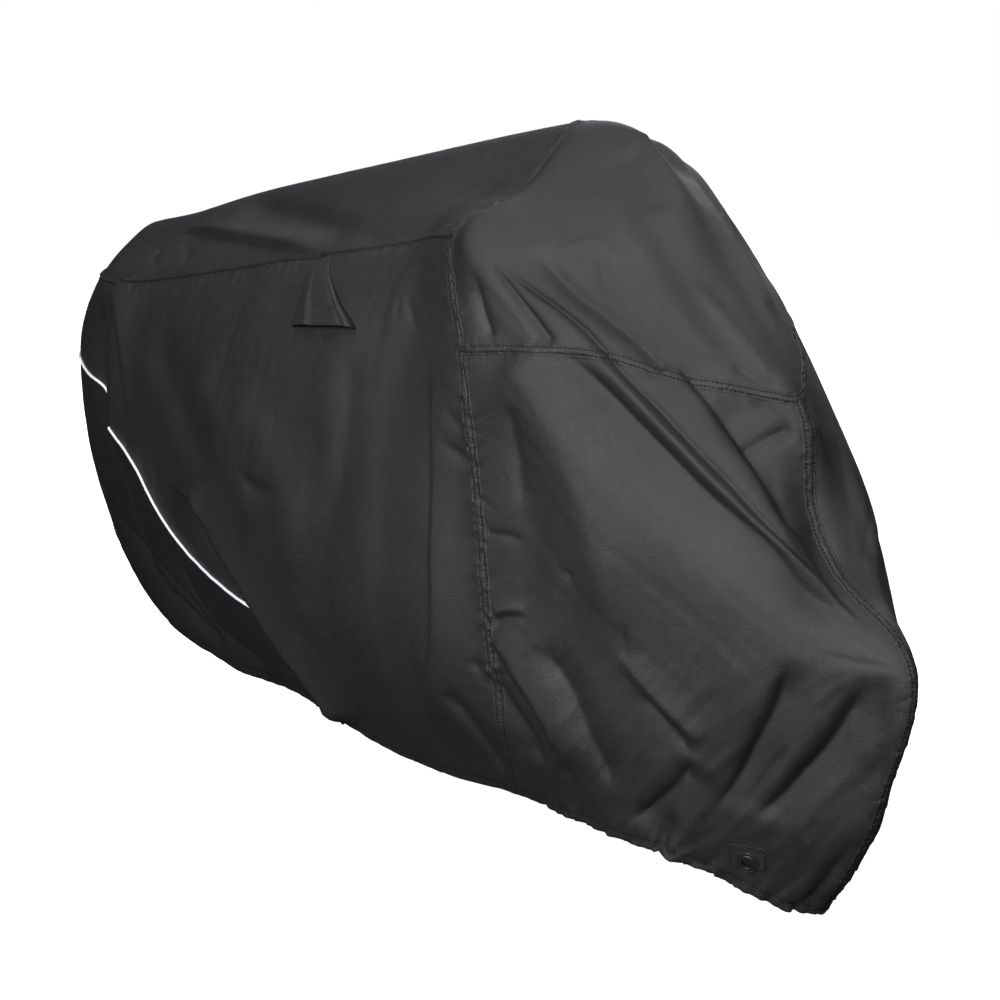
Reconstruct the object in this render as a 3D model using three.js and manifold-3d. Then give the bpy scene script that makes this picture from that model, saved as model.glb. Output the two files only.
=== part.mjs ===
// A fitted motorcycle cover, in the shape in which it hangs.
// Lengths are in millimetres, +X points to the front, +Y to the left side and +Z up.
// The sewn panels share one surface, which is lofted over a fan of ribs: each rib starts on the
// ridge along the middle and runs down the right side to the hem. The left side is its mirror.
import * as THREE from 'three';
import { mergeVertices } from 'three/addons/utils/BufferGeometryUtils.js';
import Module from 'manifold-3d';

const wasm = await Module();
wasm.setup();

// Driving sizes
const CLOTH = 2.0;            // thickness of every panel
const SEAM_GAP = 0.46;        // how far each panel stops short of its seam line
const REST_GAP = 0.35;        // clearance of a piece that lies on the cloth
const TOP_POINT = { x: 400, z: 1262 };   // inside the top, where the cover is held up
const PIPING_RADIUS = 3.2;
const PIPING_LIFT = 3.4;      // clearance of the piping's centre line, for the bends of the seam
const VENT = { swell: 30, cloth: 1.6 };
const ONE_SIDED_FADE = 60;    // half width over which a fold of one side only dies away
const FOLD_FADE = 0.22;       // share of a fold's length over which each of its ends fades
const PATCH = { thick: 1.6, half: 34, above: 32, below: 17, corner: 7 };
const FLAT_ROUND_EYELET = { inner: 80, outer: 125 };   // radii between which the cloth eases to flat
const EYELET = { hole: 10, barrel: 11.4, flange: 18.5, lip: 1.4, clothHole: 11.8 };

// Colours of the three finishes
const FINISH = {
  cloth: { color: 0x2c2d30, roughness: 0.62, metalness: 0.0 },
  band: { color: 0xd9dcdf, roughness: 0.45, metalness: 0.0 },
  eyelet: { color: 0x17181a, roughness: 0.35, metalness: 0.8 },
};

// One rib per row. Each column is a level that the rib passes, as distance forward, half width and
// height over the ground. The crown is how far the roof stands over the straight line from ridge
// to shoulder, half way down it.
const RIBS = [
  { at: 'front centre', ridge: [470, 0, 1260], crown: 14, shoulder: [650, 0, 1088], waist: [847, 0, 888],
    cheek: [900, 0, 670], belly: [1118, 0, 508], low: [1058, 0, 270], hem: [930, 0, 48] },
  { at: 'front quarter', ridge: [440, 0, 1265], crown: 14, shoulder: [608, 78, 1075], waist: [792, 62, 902],
    cheek: [922, 60, 682], belly: [1025, 70, 503], low: [992, 62, 265], hem: [893, 62, 60] },
  { at: 'cheek', ridge: [405, 0, 1269], crown: 12, shoulder: [534, 152, 1066], waist: [715, 130, 918],
    cheek: [900, 114, 702], belly: [925, 138, 490], low: [905, 112, 265], hem: [825, 105, 92] },
  { at: 'front flank', ridge: [370, 0, 1269], crown: 6, shoulder: [440, 226, 1072], waist: [612, 198, 943],
    cheek: [760, 202, 690], belly: [775, 205, 480], low: [785, 185, 280], hem: [735, 180, 132] },
  { at: 'side bulge', ridge: [340, 0, 1266], crown: -8, shoulder: [342, 265, 1098], waist: [480, 262, 940],
    cheek: [590, 262, 680], belly: [600, 265, 475], low: [610, 250, 300], hem: [560, 215, 150] },
  { at: 'side seam', ridge: [300, 0, 1260], crown: -22, shoulder: [262, 240, 1086], waist: [350, 293, 920],
    cheek: [400, 298, 690], belly: [430, 300, 480], low: [445, 285, 310], hem: [410, 225, 157] },
  { at: 'behind the seam', ridge: [180, 0, 1231], crown: -12, shoulder: [120, 205, 1060], waist: [200, 275, 895],
    cheek: [260, 305, 690], belly: [300, 320, 500], low: [290, 305, 320], hem: [250, 232, 145] },
  { at: 'middle', ridge: [30, 0, 1192], crown: 4, shoulder: [-50, 205, 1020], waist: [10, 290, 865],
    cheek: [50, 325, 680], belly: [80, 338, 500], low: [90, 318, 330], hem: [80, 240, 146] },
  { at: 'top front', ridge: [-200, 0, 1130], crown: 6, shoulder: [-265, 205, 965], waist: [-230, 287, 830],
    cheek: [-200, 322, 670], belly: [-180, 332, 500], low: [-150, 300, 330], hem: [-100, 228, 155] },
  { at: 'top middle', ridge: [-420, 0, 1071], crown: 8, shoulder: [-440, 200, 918], waist: [-430, 268, 800],
    cheek: [-420, 300, 650], belly: [-420, 292, 490], low: [-400, 240, 340], hem: [-330, 172, 140] },
  { at: 'top rear', ridge: [-640, 0, 1010], crown: 10, shoulder: [-640, 195, 870], waist: [-650, 245, 760],
    cheek: [-660, 255, 630], belly: [-670, 235, 480], low: [-660, 200, 350], hem: [-575, 142, 120] },
  { at: 'tail side', ridge: [-860, 0, 940], crown: 10, shoulder: [-850, 188, 822], waist: [-880, 205, 720],
    cheek: [-885, 205, 610], belly: [-865, 195, 480], low: [-835, 175, 345], hem: [-850, 118, 152] },
  { at: 'tail corner', ridge: [-1010, 0, 900], crown: 12, shoulder: [-1020, 128, 805], waist: [-1082, 130, 710],
    cheek: [-1098, 132, 620], belly: [-1085, 130, 480], low: [-1070, 118, 385], hem: [-1045, 95, 275] },
  { at: 'tail centre', ridge: [-1050, 0, 880], crown: 10, shoulder: [-1105, 0, 805], waist: [-1142, 0, 710],
    cheek: [-1150, 0, 620], belly: [-1140, 0, 480], low: [-1120, 0, 385], hem: [-1100, 0, 300] },
];

// Where the seams run, as rib and level numbers. The piped seam is given by its height over the
// ground.
const LEVEL = { ridge: 0, roof: 1, shoulder: 2, waist: 3, cheek: 4, belly: 5, low: 6, hem: 7 };
const RIB = { centre: 0, sideSeam: 5, tail: 13 };
const PIPING_START = 7.9;     // the rib where the piped seam leaves the hem
const REAR_START = 7.98;      // the rib where the lower rear panel is wide enough to hold the seam
const PIPING_LINE = [
  { rib: 13.0, height: 635 }, { rib: 12.0, height: 632 }, { rib: 11.4, height: 622 },
  { rib: 11.0, height: 585 }, { rib: 10.6, height: 505 }, { rib: 10.2, height: 430 },
  { rib: 9.8, height: 362 }, { rib: 9.3, height: 318 }, { rib: 8.7, height: 275 },
  { rib: 8.3, height: 228 }, { rib: PIPING_START, height: 152 },
];

// Main folds of the cloth: a ridge stands out (height over 0), a trough sinks in. Each runs through
// the listed rib and level numbers, fades at both ends and is as wide as width to each side.
const FOLDS = [
  { fold: 'ridge from side bulge to nose', height: 15, width: 26,
    route: [[3.4, 2.0], [3.0, 2.9], [2.6, 3.45], [2.2, 3.85], [1.7, 4.15], [0.4, 4.7]] },
  { fold: 'trough under that ridge', height: -20, width: 34,
    route: [[3.5, 2.9], [2.95, 3.4], [2.5, 3.8], [2.15, 4.1], [1.4, 4.35], [0.6, 4.8]] },
  { fold: 'second ridge to the nose', height: 12, width: 30,
    route: [[3.9, 3.2], [3.4, 3.7], [2.95, 4.1], [2.4, 4.45], [1.3, 4.75], [0.4, 4.95]] },
  { fold: 'hollow between ridge and middle seam', height: -22, width: 55,
    route: [[1.9, 3.3], [1.5, 3.7], [1.0, 4.0]] },
  { fold: 'lower front pleat, near', height: 12, width: 26,
    route: [[0.8, 5.0], [1.2, 5.5], [1.7, 6.0], [2.3, 6.6]] },
  { fold: 'lower front pleat, middle', height: -12, width: 26,
    route: [[1.5, 4.9], [1.75, 5.2], [2.2, 5.7], [2.6, 6.5]] },
  { fold: 'lower front pleat, far', height: 10, width: 28,
    route: [[2.4, 5.0], [2.9, 5.8], [3.4, 6.7]] },
  { fold: 'pull from the side seam', height: 14, width: 24,
    route: [[4.9, 5.0], [4.5, 5.3], [4.15, 5.7], [3.8, 6.5]] },
  { fold: 'hollow before the side seam', height: -12, width: 40,
    route: [[4.4, 3.4], [4.4, 4.2], [4.5, 5.0]] },
  { fold: 'upright ridge behind the side seam', height: 14, width: 24,
    route: [[5.6, 2.9], [5.8, 3.8], [5.95, 4.6], [6.0, 5.6]] },
  { fold: 'hollow behind that ridge', height: -10, width: 40,
    route: [[6.3, 2.6], [6.5, 3.8], [6.5, 5.2]] },
  { fold: 'lap edge over the rear', height: 26, width: 34,
    route: [[9.6, 4.4], [9.2, 5.1], [8.85, 5.8], [8.35, 6.4], [7.9, 6.9]] },
  { fold: 'hollow behind the lap', height: -26, width: 40,
    route: [[9.95, 5.0], [9.55, 5.7], [9.1, 6.2], [8.6, 6.8]] },
  { fold: 'upright pleat by the tail', height: 16, width: 26,
    route: [[11.05, 2.2], [10.9, 3.0], [10.85, 3.8], [10.9, 4.5]] },
  { fold: 'hollow behind that pleat', height: -16, width: 30,
    route: [[11.45, 2.4], [11.35, 3.4], [11.35, 4.6]] },
  { fold: 'rear lower pleat', height: -12, width: 24,
    route: [[11.5, 5.7], [11.0, 6.0], [10.3, 6.5], [9.9, 6.9]] },
  { fold: 'tuck across the roof', height: -14, width: 34,
    route: [[6.6, 1.3], [6.0, 1.2], [5.4, 1.1]] },
  { fold: 'hollow behind the side bulge', height: -24, width: 42,
    route: [[5.7, 1.7], [6.3, 1.75], [6.9, 1.8]] },
  { fold: 'crease above the top seam', height: 8, width: 22,
    route: [[11.3, 0.6], [10.3, 0.95], [9.2, 1.4], [8.0, 1.85]] },
  { fold: 'sag of the roof', height: -12, width: 70,
    route: [[10.0, 0.7], [8.8, 1.0], [7.4, 1.4]] },
  { fold: 'fuller left side of the hood', side: 'left', height: 30, width: 75,
    route: [[3.0, 0.7], [3.6, 1.0], [4.2, 1.3]] },
  { fold: 'fold down the hood, near', height: 9, width: 28,
    route: [[2.3, 0.9], [1.4, 1.8], [1.0, 2.5]] },
  { fold: 'fold down the hood, far', height: -9, width: 30,
    route: [[1.3, 0.7], [0.9, 1.0], [0.6, 1.6]] },
];

const EYELET_AT = { rib: 1.9, level: 6.7 };
// Outline of the vent hood: its two side edges from the top seam down to its open lower edge
const VENT_EDGES = [
  { down: 0.0, rear: [7.57, 2.05], front: [7.38, 2.05] },
  { down: 0.35, rear: [7.57, 2.3], front: [7.27, 2.3] },
  { down: 0.7, rear: [7.58, 2.56], front: [7.06, 2.58] },
  { down: 1.0, rear: [7.6, 2.82], front: [6.8, 2.83] },
];

// Panel grids: numbers of cells between the named levels and ribs
const CELLS = { roof: 6, waist: 3, side: 11, front: 19, middle: 8, rear: 12, rearDown: 5, vent: 6 };

function vec(level) {
  return new THREE.Vector3(level[0], -level[1], level[2]);
}

// The levels of one rib, with the roof point worked out from its crown
function ribPoints(rib) {
  const ridge = vec(rib.ridge);
  const shoulder = vec(rib.shoulder);
  const roof = ridge.clone().add(shoulder).multiplyScalar(0.5);
  roof.z += rib.crown;
  return [ridge, roof, shoulder, vec(rib.waist), vec(rib.cheek), vec(rib.belly), vec(rib.low), vec(rib.hem)];
}

const NET = RIBS.map(ribPoints);

// Catmull-Rom spline through a list of points, continued at both ends by the given outer points
function spline(points, t, before, after) {
  const last = points.length - 1;
  const i = Math.min(Math.max(Math.floor(t), 0), last - 1);
  const f = t - i;
  const p0 = i > 0 ? points[i - 1] : before;
  const p3 = i < last - 1 ? points[i + 2] : after;
  const a = -0.5 * f * f * f + f * f - 0.5 * f;
  const b = 1.5 * f * f * f - 2.5 * f * f + 1;
  const c = -1.5 * f * f * f + 2 * f * f + 0.5 * f;
  const d = 0.5 * f * f * f - 0.5 * f * f;
  return new THREE.Vector3()
    .addScaledVector(p0, a).addScaledVector(points[i], b)
    .addScaledVector(points[i + 1], c).addScaledVector(p3, d);
}

function beyond(a, b) {
  return a.clone().multiplyScalar(2).sub(b);
}

function mirrored(p) {
  return new THREE.Vector3(p.x, -p.y, p.z);
}

// A point along one rib. A rib at the side rounds over the ridge into its mirror image, and a rib
// on the middle plane ends there.
function ribPoint(p, level) {
  const before = p[1].y === 0 ? beyond(p[0], p[1]) : mirrored(p[1]);
  return spline(p, level, before, beyond(p[LEVEL.hem], p[LEVEL.low]));
}

// The smooth surface without folds: along each rib first, then across the ribs, which continue
// over the middle as their own mirror image
function smooth(rib, level) {
  const row = NET.map((p) => ribPoint(p, level));
  return spline(row, rib, mirrored(row[1]), mirrored(row[row.length - 2]));
}

// The outward normal of a surface, level across the middle where its mirror half joins it
function normalOf(shape, rib, level) {
  const e = 0.01;
  const r0 = Math.max(rib - e, 0);
  const r1 = Math.min(rib + e, RIB.tail);
  const l0 = Math.max(level - e, 0);
  const l1 = Math.min(level + e, LEVEL.hem);
  const across = shape(r1, level).sub(shape(r0, level));
  const down = shape(rib, l1).sub(shape(rib, l0));
  const n = across.cross(down);
  if (level < 1e-6 || rib < 1e-6 || rib > RIB.tail - 1e-6) n.y = 0;
  return n.normalize();
}

// Each fold's route laid on the smooth surface, as short straight steps with a fade at the ends
function foldTrack(fold) {
  const steps = 6;
  const track = [];
  const spans = fold.route.length - 1;
  for (let i = 0; i < spans; i += 1) {
    for (let k = i === 0 ? 0 : 1; k <= steps; k += 1) {
      const t = k / steps;
      const [r0, l0] = fold.route[i];
      const [r1, l1] = fold.route[i + 1];
      const along = (i + t) / spans;
      const fade = Math.min(1, Math.min(along, 1 - along) / FOLD_FADE);
      track.push({ p: smooth(r0 + (r1 - r0) * t, l0 + (l1 - l0) * t), fade });
    }
  }
  return { ...fold, track };
}

const TRACKS = FOLDS.map(foldTrack);

// How far the folds of one side stand out at a point. A fold that only one side has fades towards
// the middle, where both sides meet.
function foldHeight(p, side) {
  let sum = 0;
  for (const fold of TRACKS) {
    if (fold.side && fold.side !== side) continue;
    let best = Infinity;
    let fade = 0;
    for (const step of fold.track) {
      const d = step.p.distanceToSquared(p);
      if (d < best) {
        best = d;
        fade = step.fade;
      }
    }
    if (fold.side) fade *= THREE.MathUtils.smoothstep(-p.y, 0, ONE_SIDED_FADE);
    sum += fold.height * fade * Math.exp(-best / (fold.width * fold.width));
  }
  return sum;
}

function folded(rib, level, side) {
  const p = smooth(rib, level);
  return p.addScaledVector(normalOf(smooth, rib, level), foldHeight(p, side));
}

// The stiff patch keeps the cloth flat round the eyelet
const PATCH_NORMAL = normalOf(smooth, EYELET_AT.rib, EYELET_AT.level);
const PATCH_CENTRE = {
  right: folded(EYELET_AT.rib, EYELET_AT.level, 'right'),
  left: folded(EYELET_AT.rib, EYELET_AT.level, 'left'),
};

// The finished surface of one side. The left side is worked out on the right and mirrored last.
function surface(rib, level, side) {
  const p = folded(rib, level, side);
  const away = p.clone().sub(PATCH_CENTRE[side]);
  const { inner, outer } = FLAT_ROUND_EYELET;
  const hold = 1 - THREE.MathUtils.smoothstep(away.length(), inner, outer);
  return p.addScaledVector(PATCH_NORMAL, -hold * away.dot(PATCH_NORMAL));
}

// The normal of the finished surface, which both panels at a seam share
function clothNormal(rib, level, side) {
  return normalOf((r, l) => surface(r, l, side), rib, level);
}

function pipingHeight(rib) {
  const i = Math.max(PIPING_LINE.findIndex((row) => row.rib <= rib), 1);
  const a = PIPING_LINE[i];
  const b = PIPING_LINE[i - 1];
  return a.height + (b.height - a.height) * (rib - a.rib) / (b.rib - a.rib);
}

// The level of a rib that lies at the piped seam's height, found by halving
function pipingLevel(rib) {
  if (rib <= PIPING_START) return LEVEL.hem;
  const height = pipingHeight(rib);
  let upper = LEVEL.waist;
  let lower = LEVEL.hem;
  for (let i = 0; i < 30; i += 1) {
    const middle = (upper + lower) / 2;
    if (smooth(rib, middle).z > height) upper = middle;
    else lower = middle;
  }
  return (upper + lower) / 2;
}

function steps(from, to, count) {
  return Array.from({ length: count + 1 }, (_, i) => from + (to - from) * i / count);
}

const ROOF_LEVELS = steps(LEVEL.ridge, LEVEL.shoulder, CELLS.roof);
const WAIST_LEVELS = steps(LEVEL.shoulder, LEVEL.waist, CELLS.waist);
const SIDE_LEVELS = steps(LEVEL.waist, LEVEL.hem, CELLS.side);
const FRONT_RIBS = steps(RIB.centre, RIB.sideSeam, CELLS.front);
const REAR_RIBS = steps(RIB.sideSeam, PIPING_START, CELLS.middle)
  .concat([REAR_START], steps(PIPING_START, RIB.tail, CELLS.rear).slice(1));

// A point drawn in from a seam by the seam gap: square to the seam, towards the sheet's inside
function drawnIn(edge, inside, before, after) {
  const along = after.clone().sub(before).normalize();
  const way = inside.clone().sub(edge);
  return way.addScaledVector(along, -way.dot(along)).setLength(SEAM_GAP);
}

// A sheet is a grid of points with their normals. Its named seams are drawn in by the seam gap, and
// its other edges lie on the middle or are free hems.
function sheet(ribs, levelsAt, seams, side) {
  const points = ribs.map((rib) => levelsAt(rib).map((level) => surface(rib, level, side)));
  const normals = ribs.map((rib) => levelsAt(rib).map((level) => clothNormal(rib, level, side)));
  const lastRib = points.length - 1;
  const lastLevel = points[0].length - 1;
  const moves = points.map((row) => row.map(() => new THREE.Vector3()));
  const near = (i, j) => points[Math.min(Math.max(i, 0), lastRib)][Math.min(Math.max(j, 0), lastLevel)];
  points.forEach((row, i) => {
    if (seams.includes('upper')) moves[i][0].add(drawnIn(row[0], row[1], near(i - 1, 0), near(i + 1, 0)));
    if (seams.includes('lower')) {
      const j = lastLevel;
      moves[i][j].add(drawnIn(row[j], row[j - 1], near(i - 1, j), near(i + 1, j)));
    }
  });
  points[0].forEach((p, j) => {
    if (seams.includes('front')) moves[0][j].add(drawnIn(p, points[1][j], near(0, j - 1), near(0, j + 1)));
    if (seams.includes('rear')) {
      const i = lastRib;
      moves[i][j].add(drawnIn(points[i][j], points[i - 1][j], near(i, j - 1), near(i, j + 1)));
    }
  });
  return { points: points.map((row, i) => row.map((p, j) => p.clone().add(moves[i][j]))), normals };
}

// A closed solid from one or two sheets: an outer face, an inner face one thickness in, and a wall
// along every open edge. The second sheet is mirrored and joined to the first along the middle.
function thicken(sheets, thickness) {
  const outer = [];
  const inner = [];
  const quads = [];
  const keys = new Map();
  const place = (p, n) => {
    const key = p.toArray().map((x) => Math.round(x * 1000)).join();
    if (!keys.has(key)) {
      keys.set(key, outer.length);
      outer.push(p);
      inner.push(p.clone().addScaledVector(n, -thickness));
    }
    return keys.get(key);
  };
  sheets.forEach(({ points, normals }, turn) => {
    const ids = points.map((row, i) => row.map((p, j) => {
      const n = normals[i][j];
      return turn ? place(mirrored(p), mirrored(n)) : place(p, n);
    }));
    for (let i = 0; i < ids.length - 1; i += 1) {
      for (let j = 0; j < ids[i].length - 1; j += 1) {
        const quad = [ids[i][j], ids[i + 1][j], ids[i + 1][j + 1], ids[i][j + 1]];
        quads.push(turn ? quad.reverse() : quad);
      }
    }
  });
  const count = outer.length;
  const faces = [];
  const edges = new Map();
  const addFace = (a, b, c) => {
    if (a === b || b === c || c === a) return;
    faces.push([a, b, c], [a + count, c + count, b + count]);
    [[a, b], [b, c], [c, a]].forEach(([u, v]) => edges.set(`${u},${v}`, [u, v]));
  };
  quads.forEach(([a, b, c, d]) => {
    addFace(a, b, c);
    addFace(a, c, d);
  });
  edges.forEach(([u, v]) => {
    if (edges.has(`${v},${u}`)) return;
    faces.push([u, u + count, v], [v, u + count, v + count]);
  });
  const geometry = new THREE.BufferGeometry();
  const flat = outer.concat(inner).flatMap((p) => p.toArray());
  geometry.setAttribute('position', new THREE.Float32BufferAttribute(flat, 3));
  geometry.setIndex(faces.flat());
  return geometry;
}

// Only shared positions and their triangles
function welded(geometry) {
  const bare = geometry.clone();
  Object.keys(bare.attributes)
    .filter((name) => name !== 'position')
    .forEach((name) => bare.deleteAttribute(name));
  return mergeVertices(bare, 1e-4);
}

function mirrorGeometry(geometry) {
  const copy = welded(geometry);
  copy.scale(1, -1, 1);
  const index = Array.from(copy.index.array);
  for (let i = 0; i < index.length; i += 3) [index[i + 1], index[i + 2]] = [index[i + 2], index[i + 1]];
  copy.setIndex(index);
  return copy;
}

function toSolid(geometry) {
  const merged = welded(geometry);
  return new wasm.Manifold(new wasm.Mesh({
    numProp: 3,
    vertProperties: new Float32Array(merged.attributes.position.array),
    triVerts: new Uint32Array(merged.index.array),
  }));
}

function toGeometry(solid) {
  const mesh = solid.getMesh();
  const geometry = new THREE.BufferGeometry();
  geometry.setAttribute('position', new THREE.Float32BufferAttribute(Array.from(mesh.vertProperties), 3));
  geometry.setIndex(Array.from(mesh.triVerts));
  return geometry;
}

// The round hole for the eyelet, cut square to the patch
function eyeletCutter(side) {
  const pin = new THREE.CylinderGeometry(EYELET.clothHole, EYELET.clothHole, 40, 16);
  pin.applyQuaternion(new THREE.Quaternion().setFromUnitVectors(new THREE.Vector3(0, 1, 0), PATCH_NORMAL));
  pin.translate(...PATCH_CENTRE[side].toArray());
  return toSolid(pin);
}

function punched(geometry, side) {
  return toGeometry(toSolid(geometry).subtract(eyeletCutter(side)));
}

const cover = new THREE.Group();
cover.position.set(-TOP_POINT.x, 0, -TOP_POINT.z);

function add(name, geometry, finish) {
  const mesh = new THREE.Mesh(geometry, new THREE.MeshStandardMaterial(FINISH[finish]));
  mesh.name = name;
  cover.add(mesh);
}

// A right and a left piece, each from its own side of the surface
function addPair(name, make, finish) {
  add(`${name}_right`, make('right'), finish);
  add(`${name}_left`, mirrorGeometry(make('left')), finish);
}

// One panel over both sides
function addWhole(name, ribs, levelsAt, seams) {
  const halves = ['right', 'left'].map((side) => sheet(ribs, levelsAt, seams, side));
  add(name, thicken(halves, CLOTH), 'cloth');
}

// Front hood: one cut from the ridge down to the cross seam, over both sides
addWhole('front_hood', FRONT_RIBS, () => ROOF_LEVELS.concat(WAIST_LEVELS.slice(1)), ['rear', 'lower']);

// Top panel: the roof behind the hood, over both sides and round the tail
addWhole('top_panel', REAR_RIBS, () => ROOF_LEVELS, ['front', 'lower']);

// Lower front panels, joined along the middle of the nose and punched for the eyelets
addPair('lower_front_panel', (side) => {
  const grid = sheet(FRONT_RIBS, () => SIDE_LEVELS, ['front', 'rear', 'upper'], side);
  return punched(thicken([grid], CLOTH), side);
}, 'cloth');

// Side panels, from the top seam down to the hem and, further back, down to the piped seam
const SIDE_SHARE = WAIST_LEVELS.concat(SIDE_LEVELS.slice(1))
  .map((level) => (level - LEVEL.shoulder) / (LEVEL.hem - LEVEL.shoulder));
const sideLevels = (rib) => SIDE_SHARE.map((t) => LEVEL.shoulder + (pipingLevel(rib) - LEVEL.shoulder) * t);
addPair('side_panel', (side) => {
  const grid = sheet(REAR_RIBS, sideLevels, ['front', 'rear', 'upper', 'lower'], side);
  return thicken([grid], CLOTH);
}, 'cloth');

// Lower rear panels, below the piped seam
const rearRibs = REAR_RIBS.filter((rib) => rib >= REAR_START);
addPair('lower_rear_panel', (side) => {
  const rearLevels = (rib) => steps(pipingLevel(rib), LEVEL.hem, CELLS.rearDown);
  return thicken([sheet(rearRibs, rearLevels, ['rear', 'upper'], side)], CLOTH);
}, 'cloth');

// Reflective piping, a thin cord in a folded strip along the piped seam
addPair('piping', (side) => {
  const lift = PIPING_RADIUS + PIPING_LIFT;
  const along = rearRibs.map((rib) => {
    const level = pipingLevel(rib);
    return surface(rib, level, side).addScaledVector(clothNormal(rib, level, side), lift);
  });
  along[along.length - 1].y -= 2 * SEAM_GAP;
  const section = new THREE.Shape();
  section.absarc(0, 0, PIPING_RADIUS, 0, 2 * Math.PI);
  return new THREE.ExtrudeGeometry(section, {
    steps: 3 * (rearRibs.length - 1),
    curveSegments: 4,
    bevelEnabled: false,
    extrudePath: new THREE.CatmullRomCurve3(along, false, 'catmullrom', 0.3),
  });
}, 'band');

// A point on the flat facets of a panel grid, with its normal
function onFacets(ribs, levels, rib, level, side) {
  const cell = (list, value) => {
    const found = list.findIndex((x) => x > value) - 1;
    return Math.min(Math.max(found, 0), list.length - 2);
  };
  const i = cell(ribs, rib);
  const j = cell(levels, level);
  const a = (rib - ribs[i]) / (ribs[i + 1] - ribs[i]);
  const b = (level - levels[j]) / (levels[j + 1] - levels[j]);
  const corner = (di, dj) => surface(ribs[i + di], levels[j + dj], side);
  const start = corner(0, 0);
  const end = corner(1, 1);
  const third = a > b ? corner(1, 0) : corner(0, 1);
  const [near, far] = a > b ? [a - b, b] : [b - a, a];
  const p = start.clone().multiplyScalar(1 - near - far)
    .addScaledVector(third, near).addScaledVector(end, far);
  return { p, n: clothNormal(rib, level, side) };
}

// Vent hood: a gusseted flap that widens from the top seam and stands open at its lower edge
function ventEdge(down, edge) {
  const i = Math.max(VENT_EDGES.findIndex((row) => row.down >= down - 1e-9), 1);
  const a = VENT_EDGES[i - 1];
  const b = VENT_EDGES[i];
  const f = (down - a.down) / (b.down - a.down);
  return {
    rib: a[edge][0] + (b[edge][0] - a[edge][0]) * f,
    level: a[edge][1] + (b[edge][1] - a[edge][1]) * f,
  };
}

addPair('vent_hood', (side) => {
  const levels = WAIST_LEVELS.concat(SIDE_LEVELS.slice(1));
  const points = [];
  const normals = [];
  steps(0, 1, CELLS.vent).forEach((u) => {
    const row = steps(0, 1, CELLS.vent).map((down) => {
      const rear = ventEdge(down, 'rear');
      const front = ventEdge(down, 'front');
      const rib = front.rib + (rear.rib - front.rib) * u;
      const level = front.level + (rear.level - front.level) * u;
      const { p, n } = onFacets(REAR_RIBS, levels, rib, level, side);
      const stand = VENT.swell * Math.pow(down, 1.6) * Math.pow(Math.sin(Math.PI * u), 0.7);
      return { p: p.addScaledVector(n, 2 * REST_GAP + VENT.cloth + stand), n };
    });
    points.push(row.map((q) => q.p));
    normals.push(row.map((q) => q.n));
  });
  return thicken([{ points, normals }], VENT.cloth);
}, 'cloth');

// Frame of the patch: the way to the front, the way down to the hem and the outward normal
const patchDown = new THREE.Vector3(0, 0, -1).projectOnPlane(PATCH_NORMAL).normalize();
const patchFront = patchDown.clone().cross(PATCH_NORMAL);
const PATCH_TURN = new THREE.Matrix4().makeBasis(patchFront, patchDown, PATCH_NORMAL);

// Reinforcing patch: a flat rounded square of doubled cloth over the hem
function patchOutline() {
  const { half, above, below, corner } = PATCH;
  const shape = new THREE.Shape();
  shape.absarc(half - corner, corner - above, corner, -Math.PI / 2, 0);
  shape.absarc(half - corner, below - corner, corner, 0, Math.PI / 2);
  shape.absarc(corner - half, below - corner, corner, Math.PI / 2, Math.PI);
  shape.absarc(corner - half, corner - above, corner, Math.PI, 1.5 * Math.PI);
  return shape;
}

addPair('eyelet_patch', (side) => {
  const plate = new THREE.ExtrudeGeometry(patchOutline(), {
    depth: PATCH.thick, curveSegments: 2, bevelEnabled: false,
  });
  plate.translate(0, 0, REST_GAP);
  plate.applyMatrix4(PATCH_TURN);
  plate.translate(...PATCH_CENTRE[side].toArray());
  return punched(plate, side);
}, 'cloth');

// Eyelet: a pressed ring whose barrel goes through the cloth, with a rolled flange on each face
addPair('eyelet', (side) => {
  const out = REST_GAP * 2 + PATCH.thick;
  const back = -CLOTH - REST_GAP;
  const { hole, barrel, flange, lip } = EYELET;
  const profile = [
    [hole, back - lip], [flange, back - lip], [flange, back], [barrel, back], [barrel, out],
    [flange, out], [flange, out + 0.5 * lip], [0.5 * (flange + hole), out + 1.6 * lip],
    [hole, out + lip], [hole, back - lip],
  ];
  const ring = new THREE.LatheGeometry(profile.map(([r, h]) => new THREE.Vector2(r, h)), 16);
  ring.applyQuaternion(new THREE.Quaternion().setFromUnitVectors(new THREE.Vector3(0, 1, 0), PATCH_NORMAL));
  ring.translate(...PATCH_CENTRE[side].toArray());
  return ring;
}, 'eyelet');

export default cover;
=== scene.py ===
from collections import namedtuple

import bpy
import numpy as np
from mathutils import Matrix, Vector


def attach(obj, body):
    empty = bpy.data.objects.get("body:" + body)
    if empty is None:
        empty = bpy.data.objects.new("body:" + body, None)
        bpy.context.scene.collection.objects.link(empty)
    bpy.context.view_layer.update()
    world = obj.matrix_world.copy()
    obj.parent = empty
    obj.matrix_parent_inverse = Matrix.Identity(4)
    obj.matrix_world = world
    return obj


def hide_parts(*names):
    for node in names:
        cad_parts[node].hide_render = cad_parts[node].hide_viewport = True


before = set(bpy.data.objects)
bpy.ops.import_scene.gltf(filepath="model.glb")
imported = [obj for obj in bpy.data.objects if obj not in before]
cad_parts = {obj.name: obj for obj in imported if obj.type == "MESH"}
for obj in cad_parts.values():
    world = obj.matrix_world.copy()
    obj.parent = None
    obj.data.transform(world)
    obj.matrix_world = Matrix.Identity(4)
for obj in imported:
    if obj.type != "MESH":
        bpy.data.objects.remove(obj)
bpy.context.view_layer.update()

# Front hood
# One cut of coated polyester over both sides, from the seam behind the highest point down to the
# cross seam. All panels are parts of one hanging shape, so its net and folds are worked out here.
TOP_POINT = np.array([0.400, 0.0, 1.262])  # inside the top, where the cover is held up
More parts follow.
